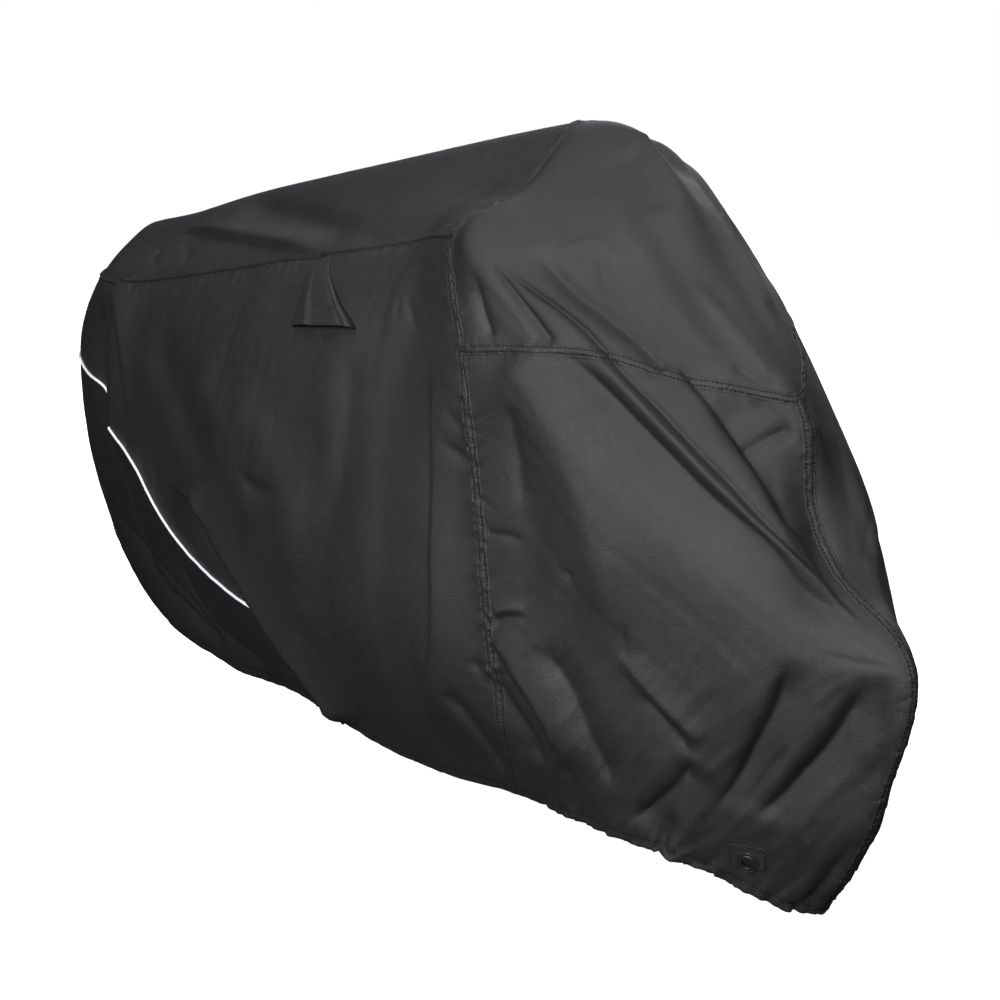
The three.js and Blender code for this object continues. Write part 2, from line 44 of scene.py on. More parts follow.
RIGHT, LEFT = -1.0, 1.0  # hands of the cover, as the sign of y
MM = 0.001

Rib = namedtuple("Rib", "ridge crown shoulder waist cheek belly low hem")
# Each level of a rib is its distance forward, half width and height over the ground in mm. The
# crown is how far the roof stands over the straight line from ridge to shoulder.
RIBS = (
    Rib((470, 0, 1260), 14, (650, 0, 1088), (847, 0, 888),
        (900, 0, 670), (1118, 0, 508), (1058, 0, 270), (930, 0, 48)),
    Rib((440, 0, 1265), 14, (608, 78, 1075), (792, 62, 902),
        (922, 60, 682), (1025, 70, 503), (992, 62, 265), (893, 62, 60)),
    Rib((405, 0, 1269), 12, (534, 152, 1066), (715, 130, 918),
        (900, 114, 702), (925, 138, 490), (905, 112, 265), (825, 105, 92)),
    Rib((370, 0, 1269), 6, (440, 226, 1072), (612, 198, 943),
        (760, 202, 690), (775, 205, 480), (785, 185, 280), (735, 180, 132)),
    Rib((340, 0, 1266), -8, (342, 265, 1098), (480, 262, 940),
        (590, 262, 680), (600, 265, 475), (610, 250, 300), (560, 215, 150)),
    Rib((300, 0, 1260), -22, (262, 240, 1086), (350, 293, 920),
        (400, 298, 690), (430, 300, 480), (445, 285, 310), (410, 225, 157)),
    Rib((180, 0, 1231), -12, (120, 205, 1060), (200, 275, 895),
        (260, 305, 690), (300, 320, 500), (290, 305, 320), (250, 232, 145)),
    Rib((30, 0, 1192), 4, (-50, 205, 1020), (10, 290, 865),
        (50, 325, 680), (80, 338, 500), (90, 318, 330), (80, 240, 146)),
    Rib((-200, 0, 1130), 6, (-265, 205, 965), (-230, 287, 830),
        (-200, 322, 670), (-180, 332, 500), (-150, 300, 330), (-100, 228, 155)),
    Rib((-420, 0, 1071), 8, (-440, 200, 918), (-430, 268, 800),
        (-420, 300, 650), (-420, 292, 490), (-400, 240, 340), (-330, 172, 140)),
    Rib((-640, 0, 1010), 10, (-640, 195, 870), (-650, 245, 760),
        (-660, 255, 630), (-670, 235, 480), (-660, 200, 350), (-575, 142, 120)),
    Rib((-860, 0, 940), 10, (-850, 188, 822), (-880, 205, 720),
        (-885, 205, 610), (-865, 195, 480), (-835, 175, 345), (-850, 118, 152)),
    Rib((-1010, 0, 900), 12, (-1020, 128, 805), (-1082, 130, 710),
        (-1098, 132, 620), (-1085, 130, 480), (-1070, 118, 385), (-1045, 95, 275)),
    Rib((-1050, 0, 880), 10, (-1105, 0, 805), (-1142, 0, 710),
        (-1150, 0, 620), (-1140, 0, 480), (-1120, 0, 385), (-1100, 0, 300)),
)
RIDGE, SHOULDER, WAIST, HEM = 0, 2, 3, 7  # levels that seams and edges run along
FRONT, SIDE_SEAM, TAIL = 0, 5, 13  # ribs that they run along
FLIP_Y = np.array([1.0, -1.0, 1.0])


def rib_levels(rib):
    """The eight levels of a rib in metres, the roof half way from ridge to shoulder plus the crown."""
    ridge, shoulder = np.array(rib.ridge, float), np.array(rib.shoulder, float)
    roof = (ridge + shoulder) / 2 + (0, 0, rib.crown)
    rest = np.array(rib[3:], float)
    return np.vstack([ridge, roof, shoulder, rest]) * MM - TOP_POINT


def with_neighbours(levels):
    """A rib with one more point at each end: its own mirror image past the ridge, a step on past the hem."""
    over = levels[1] * FLIP_Y if levels[1, 1] else 2 * levels[0] - levels[1]
    return np.vstack([over, levels, 2 * levels[-1] - levels[-2]])


half = [with_neighbours(rib_levels(rib)) for rib in RIBS]
NET = np.array([half[1] * FLIP_Y, *half, half[-2] * FLIP_Y])


def spline_weights(f):
    """Catmull-Rom: the cubic weights of the four points round a step, at the share f of that step."""
    return np.stack([-0.5 * f**3 + f**2 - 0.5 * f, 1.5 * f**3 - 2.5 * f**2 + 1,
                     -1.5 * f**3 + 2 * f**2 + 0.5 * f, 0.5 * f**3 - 0.5 * f**2], -1)


def smooth_cloth(rib, level, hand=RIGHT):
    """The hanging shape without folds: a Catmull-Rom surface through the net of ribs and levels."""
    i = np.clip(np.floor(rib).astype(int), 0, TAIL - 1)
    j = np.clip(np.floor(level).astype(int), 0, HEM - 1)
    a, b = spline_weights(rib - i), spline_weights(level - j)
    found = 0
    for k in range(4):
        for m in range(4):
            found = found + (a[..., k] * b[..., m])[..., None] * NET[i + k, j + m]
    sign = np.asarray(hand)[..., None] * np.array([0.0, 1.0, 0.0]) + (1.0, 0.0, 1.0)
    return found * sign


def unit(v):
    """Each vector divided by its length."""
    return v / np.maximum(np.linalg.norm(v, axis=-1, keepdims=True), 1e-12)


def outward(rib, level, hand):
    """Normal of the smooth shape: the step along the ribs crossed with the step down them."""
    e = 0.01
    across = (smooth_cloth(np.minimum(rib + e, TAIL), level)
              - smooth_cloth(np.maximum(rib - e, 0), level))
    down = (smooth_cloth(rib, np.minimum(level + e, HEM))
            - smooth_cloth(rib, np.maximum(level - e, 0)))
    n = np.cross(across, down)
    middle = (level < 1e-6) | (rib < 1e-6) | (rib > TAIL - 1e-6)
    n[..., 1] = np.where(middle, 0.0, n[..., 1] * -np.asarray(hand))
    return unit(n)


STEP = 4 * MM  # spacing of the points along a fold or seam
Line = namedtuple("Line", "rib level point way normal left run")


def run_along(points):
    """Length run so far at each of a row of points."""
    return np.concatenate([[0], np.cumsum(np.linalg.norm(np.diff(points, axis=0), axis=1))])


def line_on_cloth(route, hand, step=STEP):
    """A curve on the smooth shape: Catmull-Rom through (rib, level) points, evenly spaced by its length. Its
    left is the normal crossed with its way on the right hand, and the mirror image of that on the left."""
    corner = np.array(route, float)
    corner = np.vstack([2 * corner[0] - corner[1], corner, 2 * corner[-1] - corner[-2]])
    spans = len(corner) - 3

    def place(t):
        i = np.minimum(t.astype(int), spans - 1)
        w = spline_weights(t - i)
        found = sum(w[:, k, None] * corner[i + k] for k in range(4))
        return np.clip(found, (FRONT, RIDGE), (TAIL, HEM)).T

    t = np.linspace(0, spans, 60 * spans + 1)
    run = run_along(smooth_cloth(*place(t)))
    count = max(int(run[-1] / step), 4)
    rib, level = place(np.interp(np.linspace(0, run[-1], count + 1), run, t))
    p, n = smooth_cloth(rib, level), outward(rib, level, RIGHT)
    way = unit(np.gradient(p, axis=0))
    left = unit(np.cross(n, way))
    flip = FLIP_Y if hand == LEFT else 1.0
    return Line(rib, level, p * flip, way * flip, n * flip, left * flip, run_along(p))


def beside_line(line, points, reach):
    """For the points within reach of a line: their numbers, their place along it and how far left they lie."""
    low, high = line.point.min(0) - reach, line.point.max(0) + reach
    near = np.flatnonzero(((points > low) & (points < high)).all(1))
    size = (line.point ** 2).sum(1)
    numbers, along, aside = [], [], []
    for part in np.array_split(near, len(near) // 8000 + 1):
        k = (size - 2 * points[part] @ line.point.T).argmin(1)
        gap = points[part] - line.point[k]
        close = (gap ** 2).sum(1) < reach ** 2
        k, gap = k[close], gap[close]
        numbers.append(part[close])
        along.append(line.run[k] + (gap * line.way[k]).sum(1))
        aside.append((gap * line.left[k]).sum(1))
    return np.concatenate(numbers), np.concatenate(along), np.concatenate(aside)


# Folds of the hanging cloth. Each runs through points given by their ribs and their levels. It
# stands out by its height in mm, or sinks in if that is under 0, and its flanks are that wide to
# its left and right. A sharp one is creased (1), a soft one is round (0). It fades in over the
# share start of its length and out over the share end, and widens to spread times its width.
Fold = namedtuple("Fold", "ribs levels height left right sharp start end spread",
                  defaults=(0.5, 0.2, 0.2, 1.0))
FOLDS = [Fold(*row) for row in (
    # the ridge from the side bulge to the nose, its valley and its creases
    ((3.4, 3.13, 2.83, 2.57, 2.3, 1.95, 0.9, 0.38), (2.86, 3.03, 3.29, 3.51, 3.76, 4.03, 4.34, 4.72), 16, 12, 17,
     0.5),
    ((3.6, 3.17, 2.75, 2.38, 1.75, 0.8, 0.38), (2.93, 3.26, 3.55, 3.85, 4.2, 4.53, 4.77), -19, 9, 52, 0.75),
    ((3.5, 3.18, 2.97, 2.62, 2.3, 1.87, 0.8, 0.4), (2.05, 2.5, 3.03, 3.33, 3.63, 3.98, 4.27, 4.67), -12, 6, 8,
     0.85, 0.12, 0.1),
    ((3.9, 3.4, 2.95, 2.4, 1.3, 0.4), (3.2, 3.7, 4.1, 4.45, 4.75, 4.95), 5, 40, 50, 0),
    # the hood, down to the cross seam
    ((3.74, 3.64, 3.66, 3.64, 3.56), (2.1, 2.35, 2.62, 2.83, 2.97), -12, 7, 13, 0.7, 0.4, 0.1),
    ((3.9, 3.8, 3.75), (2.2, 2.6, 2.95), 3, 16, 16, 0.1),
    ((4.16, 4.42, 4.42), (2.35, 2.67, 2.95), -10, 8, 15, 0.7, 0.4, 0.2),
    ((2.95, 2.62, 2.46, 2.3, 2.16), (1.78, 2.04, 2.42, 2.74, 2.98), -14, 11, 22, 0.5, 0.25, 0.05),
    ((2.54, 1.78, 1.28, 1.1), (0.83, 1.3, 1.92, 2.6), 7, 26, 22, 0.1),
    ((1.45, 0.98, 0.72), (0.46, 0.8, 1.4), -7, 20, 24, 0.2),
    ((2.56, 1.94, 1.58), (1.8, 1.67, 1.98), 2.5, 5, 9, 0.9),
    ((1.86, 1.98, 2.06), (1.8, 2.05, 2.28), -3, 6, 8, 0.8),
    ((1.42, 1.3, 1.16), (2.05, 2.57, 2.87), 5, 16, 14, 0.3),
    ((2.3, 2.08, 1.78), (2.4, 2.62, 3.03), -4, 14, 16, 0.4),
    ((0.74, 0.54, 0.44), (2.17, 2.58, 2.92), 4, 12, 12, 0.3),
    ((1.02, 0.76, 0.42), (2.8, 2.9, 2.97), -5, 10, 7, 0.7),
    # between that ridge and the middle seam
    ((1.95, 1.8, 1.6, 1.2, 0.7, 0.42, 0.36), (2.88, 3.15, 3.45, 3.72, 4.05, 4.45, 4.75), -12, 30, 7, 0.85, 0.08,
     0.15),
    ((1.7, 1.3, 0.8), (3.1, 3.5, 3.95), -14, 50, 30, 0.2),
    ((1.84, 0.72, 0.24), (3.48, 3.27, 3.2), -6, 9, 12, 0.7),
    ((0.95, 0.62, 0.5), (3.04, 3.18, 3.34), -6, 10, 14, 0.6),
    # the front plane and its edge, and the pulls from the side seam
    ((4.24, 4.04, 3.82, 3.72, 3.62, 3.5, 3.48), (2.97, 3.25, 3.6, 3.95, 4.4, 4.85, 5.35), 24, 80, 62, 0.35, 0.1,
     0.4),
    ((4.34, 4.42, 4.48), (3.33, 3.63, 4.02), -5, 14, 14, 0.3),
    ((4.4, 4.4, 4.5), (3.4, 4.2, 5), -5, 40, 40, 0),
    ((4.92, 4.68, 4.44), (4.28, 4.25, 4.25), -4, 6, 9, 0.8, 0.05, 0.5),
    ((4.06, 3.92), (4.35, 4.45), -3, 5, 7, 0.8, 0.4, 0.4),
    ((3.34, 3.32), (3.68, 3.8), -2, 4, 5, 0.9, 0.4, 0.4),
    ((3.42, 3.4), (4.7, 5.1), -3, 6, 9, 0.7, 0.4, 0.4),
    ((4.88, 4.66, 4.42), (4.9, 4.83, 4.78), 6, 8, 10, 0.6, 0.05, 0.5),
    ((4.92, 4.6, 4.4), (4.98, 4.88, 4.87), -5, 6, 10, 0.7, 0.1, 0.4),
    ((4.92, 4.64), (5.22, 5.37), -4, 6, 9, 0.7, 0.1, 0.5),
    ((4.98, 4.66, 4.38, 4.22, 3.98), (5.08, 5.38, 5.76, 6.06, 6.42), 15, 60, 10, 0.5, 0.15, 0.3),
    ((5.02, 4.86, 4.62, 4.45), (5.5, 5.75, 6.05, 6.45), -10, 14, 30, 0.4),
    ((4.35, 4.06, 3.88, 3.6), (5.05, 5.42, 5.9, 6.45), -14, 34, 18, 0.7),
    # pleats of the lower front, down to the hem
    ((3.47, 3.1, 2.7), (5, 5.37, 5.65), 9, 24, 12, 0.6),
    ((0.66, 0.8, 1.1, 1.6, 2, 2.32), (4.99, 5.24, 5.55, 5.87, 6.18, 6.57), -20, 42, 12, 0.85, 0.2, 0.5),
    ((0.4, 0.62, 1.1, 1.6), (5.25, 5.6, 6, 6.4), 3, 20, 20, 0.2),
    ((1.6, 1.74, 1.89, 2.18, 2.54, 2.66), (4.9, 5.1, 5.32, 5.65, 6.22, 6.7), -20, 38, 11, 0.85, 0.2, 0.5),
    ((1.15, 1.42, 1.85, 2.25), (5.1, 5.45, 5.85, 6.3), 3, 14, 16, 0.3),
    ((1.7, 2.06, 2.28, 2.36), (5.57, 5.9, 6.28, 6.45), -5, 6, 8, 0.9),
    ((2.85, 3.14, 3.42), (5.78, 6.27, 6.79), -18, 34, 11, 0.9, 0.2, 0.3),
    ((3.3, 3.02, 2.84), (5.3, 5.56, 5.78), -5, 8, 12, 0.6),
    ((3, 3.04, 3.08), (6.42, 6.73, 7), -10, 10, 12, 0.5, 0.4, 0),
    ((2.5, 2.4, 2.36), (6.55, 6.8, 7), -9, 9, 11, 0.6, 0.4, 0),
    ((1.18, 1.12, 1.04, 0.98), (6.3, 6.55, 6.8, 7), -10, 9, 12, 0.6, 0.4, 0),
    ((0.3, 0.42, 0.7), (6.22, 6.68, 7), -8, 9, 12, 0.6, 0.4, 0),
    # the nose
    ((0, 0, 0, 0), (5.8, 6.2, 6.5, 6.95), 7, 80, 80, 0, 0.4, 0.25),
    ((0.52, 0.52, 0.26), (4.95, 5.37, 5.9), -5, 14, 20, 0.3),
    ((0.84, 0.6, 0.36), (4.72, 4.84, 4.92), -2.5, 5, 6, 0.8),
    ((1.3, 0.8, 0.26), (4.88, 4.95, 4.98), -2.5, 5, 7, 0.8),
    # the roof
    ((10.82, 9.97, 9.05, 8, 7.46), (0.76, 1.16, 1.51, 1.86, 2.02), -8, 5, 26, 0.7, 0.2, 0.05),
    ((10.82, 9.97, 9.05, 8, 7.5), (0.71, 1.11, 1.46, 1.81, 1.96), 11, 40, 4, 0.5),
    ((10.07, 8.8, 7.24), (0.42, 0.96, 1.68), -15, 22, 44, 0.3),
    ((10.86, 10.8, 10.56), (1.05, 1.35, 1.7), -4, 6, 8, 0.7),
    ((10.6, 10.25, 10), (1, 1.4, 1.8), -3, 7, 9, 0.6),
    # the hollow behind the side bulge and its tucks
    ((5.5, 6.2, 7, 8.2), (1.65, 1.74, 1.82, 1.88), -22, 40, 44, 0.1, 0.25, 0.75),
    ((6.75, 6.12, 5.78, 5.44, 5.18), (1.8, 1.62, 1.45, 1.22, 1.05), 6, 6, 20, 0.7, 0.6, 0.2),
    ((6.12, 5.78, 5.44, 5.18), (1.97, 1.75, 1.42, 1.17), -8, 10, 9, 0.8),
    ((6.54, 7.06, 7.6), (1.98, 1.8, 1.55), -4, 8, 20, 0.7, 0.4, 0.5),
    ((6.5, 6.04, 5.56), (1.42, 1.08, 0.83), -7, 10, 24, 0.5, 0.6, 0.3),
    ((6.44, 6.02, 5.56), (0.58, 0.45, 0.3), -4, 8, 9, 0.7),
    ((5.9, 5.6, 5.3), (1.95, 1.8, 1.72), -4, 6, 7, 0.8),
    ((6.35, 5.95, 5.6), (1.72, 1.5, 1.4), -4, 6, 7, 0.8),
    # the side behind its seam
    ((5.6, 5.72, 5.9, 5.98, 6.22), (3.01, 3.76, 4.64, 5.6, 6.5), 9, 60, 5, 0.4, 0.2, 0.15),
    ((6.3, 6.42, 6.5), (2.6, 3.8, 5.2), -5, 60, 60, 0),
    ((6.42, 6.22, 6.42, 6.75, 7.3), (2.05, 2.53, 3, 3.5, 4), 6, 40, 55, 0.3, 0.2, 0.4),
    ((6.16, 6.26), (2.55, 2.8), -3, 8, 7, 0.7, 0.4, 0.4),
    ((6.08, 5.9), (2.57, 2.9), -4, 7, 9, 0.8, 0.3, 0.4),
    ((5.42, 5.08), (3.43, 3.58), -4, 6, 8, 0.8, 0.4, 0.1),
    ((5.56, 5.28, 5), (3.68, 3.74, 3.8), -6, 7, 12, 0.7, 0.4, 0.1),
    ((5.36, 5), (5.45, 5.62), -4, 7, 9, 0.7),
    ((5.88, 5.62, 5.3, 5.1), (5.93, 6.05, 6.42, 6.82), -9, 18, 12, 0.5),
    # slack in the side
    ((6.82, 6.88, 7.15, 7.77), (2.85, 3.64, 4.6, 5.62), -13, 75, 40, 0.2),
    ((8.53, 7.9, 7.65, 7.7), (3.62, 4.11, 4.75, 5.6), 12, 60, 75, 0.1),
    ((10.13, 9.32, 8.72), (2.88, 4.03, 4.71), -15, 70, 50, 0.1),
    ((9.2, 8.5, 8), (3.3, 4.1, 5), 9, 50, 60, 0.1),
    ((8.3, 7.98, 7.62), (4.35, 4.52, 4.48), -7, 12, 24, 0.4, 0.4, 0.4),
    # the lap over the lower rear
    ((9.2, 8.74, 8.42, 8.16, 7.95, 7.8, 7.7), (4.66, 5.15, 5.6, 5.98, 6.28, 6.6, 7), 34, 55, 3, 0.8, 0.12, 0.08),
    ((9.75, 9.32, 8.9, 8.5, 8.2), (5, 5.5, 6, 6.45, 6.8), -44, 30, 60, 0.2, 0.2, 0.3),
    # pleats by the tail
    ((11.04, 10.8, 10.71, 10.73, 10.88, 11.04), (2.07, 2.6, 3.28, 3.97, 4.58, 5.2), 18, 60, 4, 0.3, 0.04, 0.3),
    ((11.3, 11.2, 11.2), (2.3, 3.4, 4.9), -14, 22, 40, 0.2),
    ((10.84, 10.55, 10.43, 10.42), (2.22, 3.04, 3.86, 4.6), 5, 40, 6, 0.5, 0.1, 0.3),
    # pleats below the piped seam
    ((11.47, 11.56, 11.4, 11.04, 10.76, 10.26, 9.86), (5.72, 6.16, 6.26, 6.28, 6.4, 6.62, 6.88), -15, 8, 30,
     0.7),
    ((11.43, 11, 10.43, 9.87), (5.69, 6.42, 6.69, 6.89), -14, 4, 22, 0.9),
    ((10.85, 10.95, 10.7, 10.1), (4.69, 5.83, 6.28, 6.62), -14, 4, 22, 0.9),
    ((10.15, 9.97, 9.2), (6.04, 6.61, 6.85), -14, 4, 20, 0.9),
)]
LEFT_ONLY = [  # fuller at the nose and the hood
    Fold((0.3, 0.36, 0.36, 0.3), (3, 3.4, 3.9, 4.3), 12, 28, 28, 0),
    Fold((3, 3.6, 4.2), (0.7, 1, 1.3), 28, 95, 95, 0),
]
CREASE_ROUND = 1.0 * MM  # radius that rounds the line of every crease
REACH = 3.2  # widths at which a fold has died out
LEFT_CALM = 0.12  # the left of the nose hangs smoother by this share
LEFT_DRIFT, LEFT_HEIGHTS = (0.06, 0.03), (0.75, 1.15)  # in rib and level, and as shares of the height


def smooth_step(x):
    """0 up to 0, 1 from 1 on, and 3x^2 - 2x^3 between."""
    x = np.clip(x, 0, 1)
    return x * x * (3 - 2 * x)


def drifted(fold, draw):
    """The same fold on the left side, a little elsewhere and a little higher or lower."""
    route = np.transpose(fold[:2])
    moved = route + draw.normal(0, 1, 2) * LEFT_DRIFT
    free = (route > (0.3, 0.15)) & (route < (12.7, 6.9))
    calm = LEFT_CALM if route[:, 0].mean() < 3.7 and route[:, 1].mean() > 2.4 else 1.0
    ribs, levels = np.where(free, moved, route).T
    return fold._replace(ribs=ribs, levels=levels, height=fold.height * calm * draw.uniform(*LEFT_HEIGHTS))


draw_left = np.random.default_rng(21)
ON_LEFT = [drifted(fold, draw_left) for fold in FOLDS] + LEFT_ONLY
FOLD_LINES = [(fold, line_on_cloth(np.transpose(fold[:2]), hand))
              for hand, folds in ((RIGHT, FOLDS), (LEFT, ON_LEFT)) for fold in folds]


def fold_lift(points):
    """How far the folds lift each point: height times exp(-(distance/width)^(2 - sharp)), faded at both ends."""
    lift = np.zeros(len(points))
    for fold, line in FOLD_LINES:
        widest = max(fold.left, fold.right) * MM * max(fold.spread, 1)
        numbers, s, d = beside_line(line, points, REACH * widest)
        share = np.clip(s / line.run[-1], 0, 1)
        width = np.where(d > 0, fold.left, fold.right) * MM * (1 + (fold.spread - 1) * share)
        fade = smooth_step(share / max(fold.start, 1e-3)) * smooth_step((1 - share) / max(fold.end, 1e-3))
        away = (np.sqrt(d**2 + CREASE_ROUND**2) - CREASE_ROUND) / width
        edge = 1 - smooth_step((np.abs(d) / widest - 0.75 * REACH) / (0.25 * REACH))
        lift[numbers] += fold.height * MM * fade * edge * np.exp(-away ** (2 - fold.sharp))
    return lift


# Gathers where a seam or the elastic in the hem draws the cloth in. Pleats stand about spacing mm
# apart across the line, up to height mm high, and run out into the cloth over up to length mm.
# Sides says on which side of the line they are: 1 its left, -1 its right.
Gather = namedtuple("Gather", "name route spacing short length height sides seed")
CROSS, MIDDLE = [(k, 3) for k in range(6)], [(0, k) for k in range(3, 8)]
DOWN_SIDE, TOP_EDGE = [(5, k) for k in range(8)], [(k, 2) for k in (5, 6.5, 8, 9.5, 11, 13)]
GATHERS = (
    Gather("side seam", DOWN_SIDE[:6] + [(5, 5.8)], 15, 8, 40, 3.2, (1, -1), 3),
    Gather("cross seam", CROSS, 13, 6, 24, 2.2, (1, -1), 4),
    Gather("middle seam", MIDDLE, 13, 6, 24, 2.2, (1, -1), 5),
    Gather("top seam", TOP_EDGE, 12, 6, 30, 2.0, (1,), 6),
    Gather("over the top seam", TOP_EDGE, 24, 4, 14, 1.0, (-1,), 7),
    Gather("tail seam", [(13, k) for k in (0.6, 2, 4, 6, 7)], 20, 8, 24, 1.6, (1, -1), 8),
    Gather("hem at the front", [(k, 7) for k in (0, 1, 2, 3, 4, 4.6)], 21, 24, 80, 4.6, (1, -1), 9),
    Gather("hem at the side", [(k, 7) for k in (4.4, 5.5, 7, 9, 11, 13)], 55, 20, 70, 1.6, (1, -1), 10),
)
GATHER_REACH = 2.2  # lengths at which a pleat has died out
PLEAT_SLANT, PLEAT_WIDTH = 0.30, (0.20, 0.36)  # spread of the slants, and widths as shares of the spacing


def pleats_of(gather, side, hand):
    """The pleats of one gather on one side of its line, drawn from its seed, as a function that lifts points."""
    draw = np.random.default_rng((gather.seed, 1 + side, int(2 + hand)))
    line = line_on_cloth(gather.route, hand)
    spacing = gather.spacing * MM
    count = int(line.run[-1] / spacing)
    places = (np.arange(count) + draw.uniform(0.1, 0.9, count)) * gather.spacing * MM
    slants = draw.normal(0, PLEAT_SLANT, count)
    widths = spacing * draw.uniform(*PLEAT_WIDTH, count)
    lengths = MM * (gather.short + (gather.length - gather.short) * draw.uniform(0, 1, count) ** 1.8)
    heights = gather.height * MM * draw.uniform(0.35, 1.0, count) * draw.choice((-1, -1, 1), count)

    def lift(points):
        """Sum of height * exp(-(offset along the line/width)^2) * exp(-(distance/length)^2), each pleat
        slanted and widening away from the line, and nothing on the line itself unless it is a hem."""
        numbers, s, d = beside_line(line, points, lengths.max() * GATHER_REACH)
        mine = d * side >= 0
        numbers, s, d = numbers[mine], s[mine], np.abs(d[mine])
        total = np.zeros(len(numbers))
        for at, slant, width, length, height in zip(places, slants, widths, lengths, heights):
            near = np.flatnonzero((np.abs(s - at) < 4 * width + d * 0.9) & (d < GATHER_REACH * length))
            off = s[near] - at - slant * d[near]
            total[near] += height * np.exp(-(off / (width * (1 + 0.5 * d[near] / length))) ** 2
                                           - (d[near] / length) ** 2)
        rise = 1.0 if gather.name.startswith("hem") else 1 - np.exp(-(d / (4 * MM)) ** 2)
        return numbers, total * rise

    return lift


PLEATS = []
for gather in GATHERS:
    on_middle = all(rib in (FRONT, TAIL) for rib, level in gather.route)
    for hand in (RIGHT,) if on_middle else (RIGHT, LEFT):
        PLEATS += [pleats_of(gather, side, hand) for side in gather.sides]


def swells(points, cell, seed):
    """Gradient noise: smooth random swells from -1 to 1, about cell apart, on a lattice of random slopes."""
    slopes = unit(np.random.default_rng(seed).normal(size=(512, 3)))
    place = points / cell
    base = np.floor(place).astype(np.int64)
    f = place - base
    ease = f**3 * (f * (f * 6 - 15) + 10)
    total = 0
    for corner in np.ndindex(2, 2, 2):
        at = base + corner
        mixed = (at[:, 0] * 73856093) ^ (at[:, 1] * 19349663) ^ (at[:, 2] * 83492791)
        weight = np.where(corner, ease, 1 - ease).prod(1)
        total = total + weight * (slopes[mixed % 512] * (f - corner)).sum(1)
    return total * 1.7


def creased(swell):
    """Swells turned into flat facets between creases, which run where the swell crosses nought."""
    return 0.5 - 1.8 * np.sqrt(swell**2 + 0.05**2)


def between(x, low, high, soft):
    """1 from low to high, falling to 0 over soft on both sides."""
    return smooth_step((x - low) / soft + 1) * smooth_step((high - x) / soft + 1)


# Slack of the cloth, as swells stretched along the pull: their cell along it and across it and
# their height in mm, the pull as a line from one (rib, level) to another, where they are and
# which share of them is creased. First the nose, then the lower front, hood, side and roof.
Slack = namedtuple("Slack", "along across height pull ribs levels seed creased")
TO_NOSE, TO_HEM = ((3.5, 3.0), (0.5, 4.85)), ((0.7, 5.0), (2.5, 6.6))
SLACKS = (
    Slack(240, 30, 0.9, TO_NOSE, (0.4, 4.3), (2.5, 4.9), 31, 0.5),
    Slack(110, 12, 0.22, TO_NOSE, (0.4, 4.5), (2.2, 5.0), 32, 0.5),
    Slack(170, 46, 3.2, TO_HEM, (0.3, 3.9), (5.2, 7.0), 33, 0.8),
    Slack(80, 20, 0.9, TO_HEM, (0.3, 4.5), (5.2, 7.0), 34, 0.9),
    Slack(170, 40, 1.2, ((2.6, 0.6), (1.2, 2.8)), (0.3, 4.2), (0.3, 2.5), 35, 0.2),
    Slack(360, 120, 4.5, ((7.5, 2.4), (7.9, 6.4)), (5.4, 12.4), (2.3, 6.6), 36, 0.2),
    Slack(160, 44, 1.0, ((7.5, 2.4), (8.2, 6.4)), (5.4, 12.4), (2.3, 6.8), 37, 0.7),
    Slack(220, 50, 1.4, ((11.0, 0.8), (7.0, 1.2)), (5.4, 12.4), (0.3, 1.7), 38, 0.3),
)
ALL_OVER = ((26, 0.28, 41), (11, 0.06, 42))  # cell and height in mm, and seed
NEAR_MIDDLE, LEFT_APART = 40 * MM, 7.3  # no slack on the middle, and other swells on the left side


def slack_lift(points, rib, level):
    """Stretched swells, with cells long along the pull, plus fine even ones all over."""
    lift = np.zeros(len(points))
    hand = np.where(points[:, 1] > 0, LEFT, RIGHT)
    inner = smooth_step(np.abs(points[:, 1]) / NEAR_MIDDLE)
    for slack in SLACKS:
        where = between(rib, *slack.ribs, 0.8) * between(level, *slack.levels, 0.5) * inner
        used = np.flatnonzero(where > 0)
        start, stop = (smooth_cloth(np.float64(r), np.float64(v)) for r, v in slack.pull)
        way = unit(stop - start)
        side = unit(np.cross(way, (0.0, 1.0, 0.0)))
        axes = np.stack([way, side, np.cross(way, side)], 1)
        turned = (points[used] * np.where(hand[used, None] == LEFT, FLIP_Y, 1.0)) @ axes
        turned = turned + (hand[used, None] == LEFT) * LEFT_APART
        cell = np.array([slack.along, slack.across, slack.across * 2]) * MM
        swell = swells(turned, cell, slack.seed)
        swell = swell + slack.creased * (creased(swell) - swell)
        lift[used] += slack.height * MM * where[used] * swell
    for cell, height, seed in ALL_OVER:
        lift += height * MM * swells(points, cell * MM, seed)
    return lift


EYELET_RIB, EYELET_LEVEL = np.float64(1.9), np.float64(6.7)
FLAT_ROUND_EYELET = (80 * MM, 125 * MM)  # the cloth is flat within the first, free past the second
UNGATHERED_ROUND_EYELET = (30 * MM, 62 * MM)
patch_middle, patch_normal = {}, {}
for hand in (RIGHT, LEFT):
    under = smooth_cloth(EYELET_RIB, EYELET_LEVEL, hand)
    patch_normal[hand] = outward(EYELET_RIB, EYELET_LEVEL, hand)
    patch_middle[hand] = under + patch_normal[hand] * fold_lift(under[None])[0]


def held(points, hand, inner, outer):
    """How firmly the stiff patch holds the cloth flat, 1 within inner of its middle and 0 past outer, and
    that middle."""
    middle = np.where(hand[:, None] == LEFT, patch_middle[LEFT], patch_middle[RIGHT])
    return 1 - smooth_step((np.linalg.norm(points - middle, axis=1) - inner) / (outer - inner)), middle


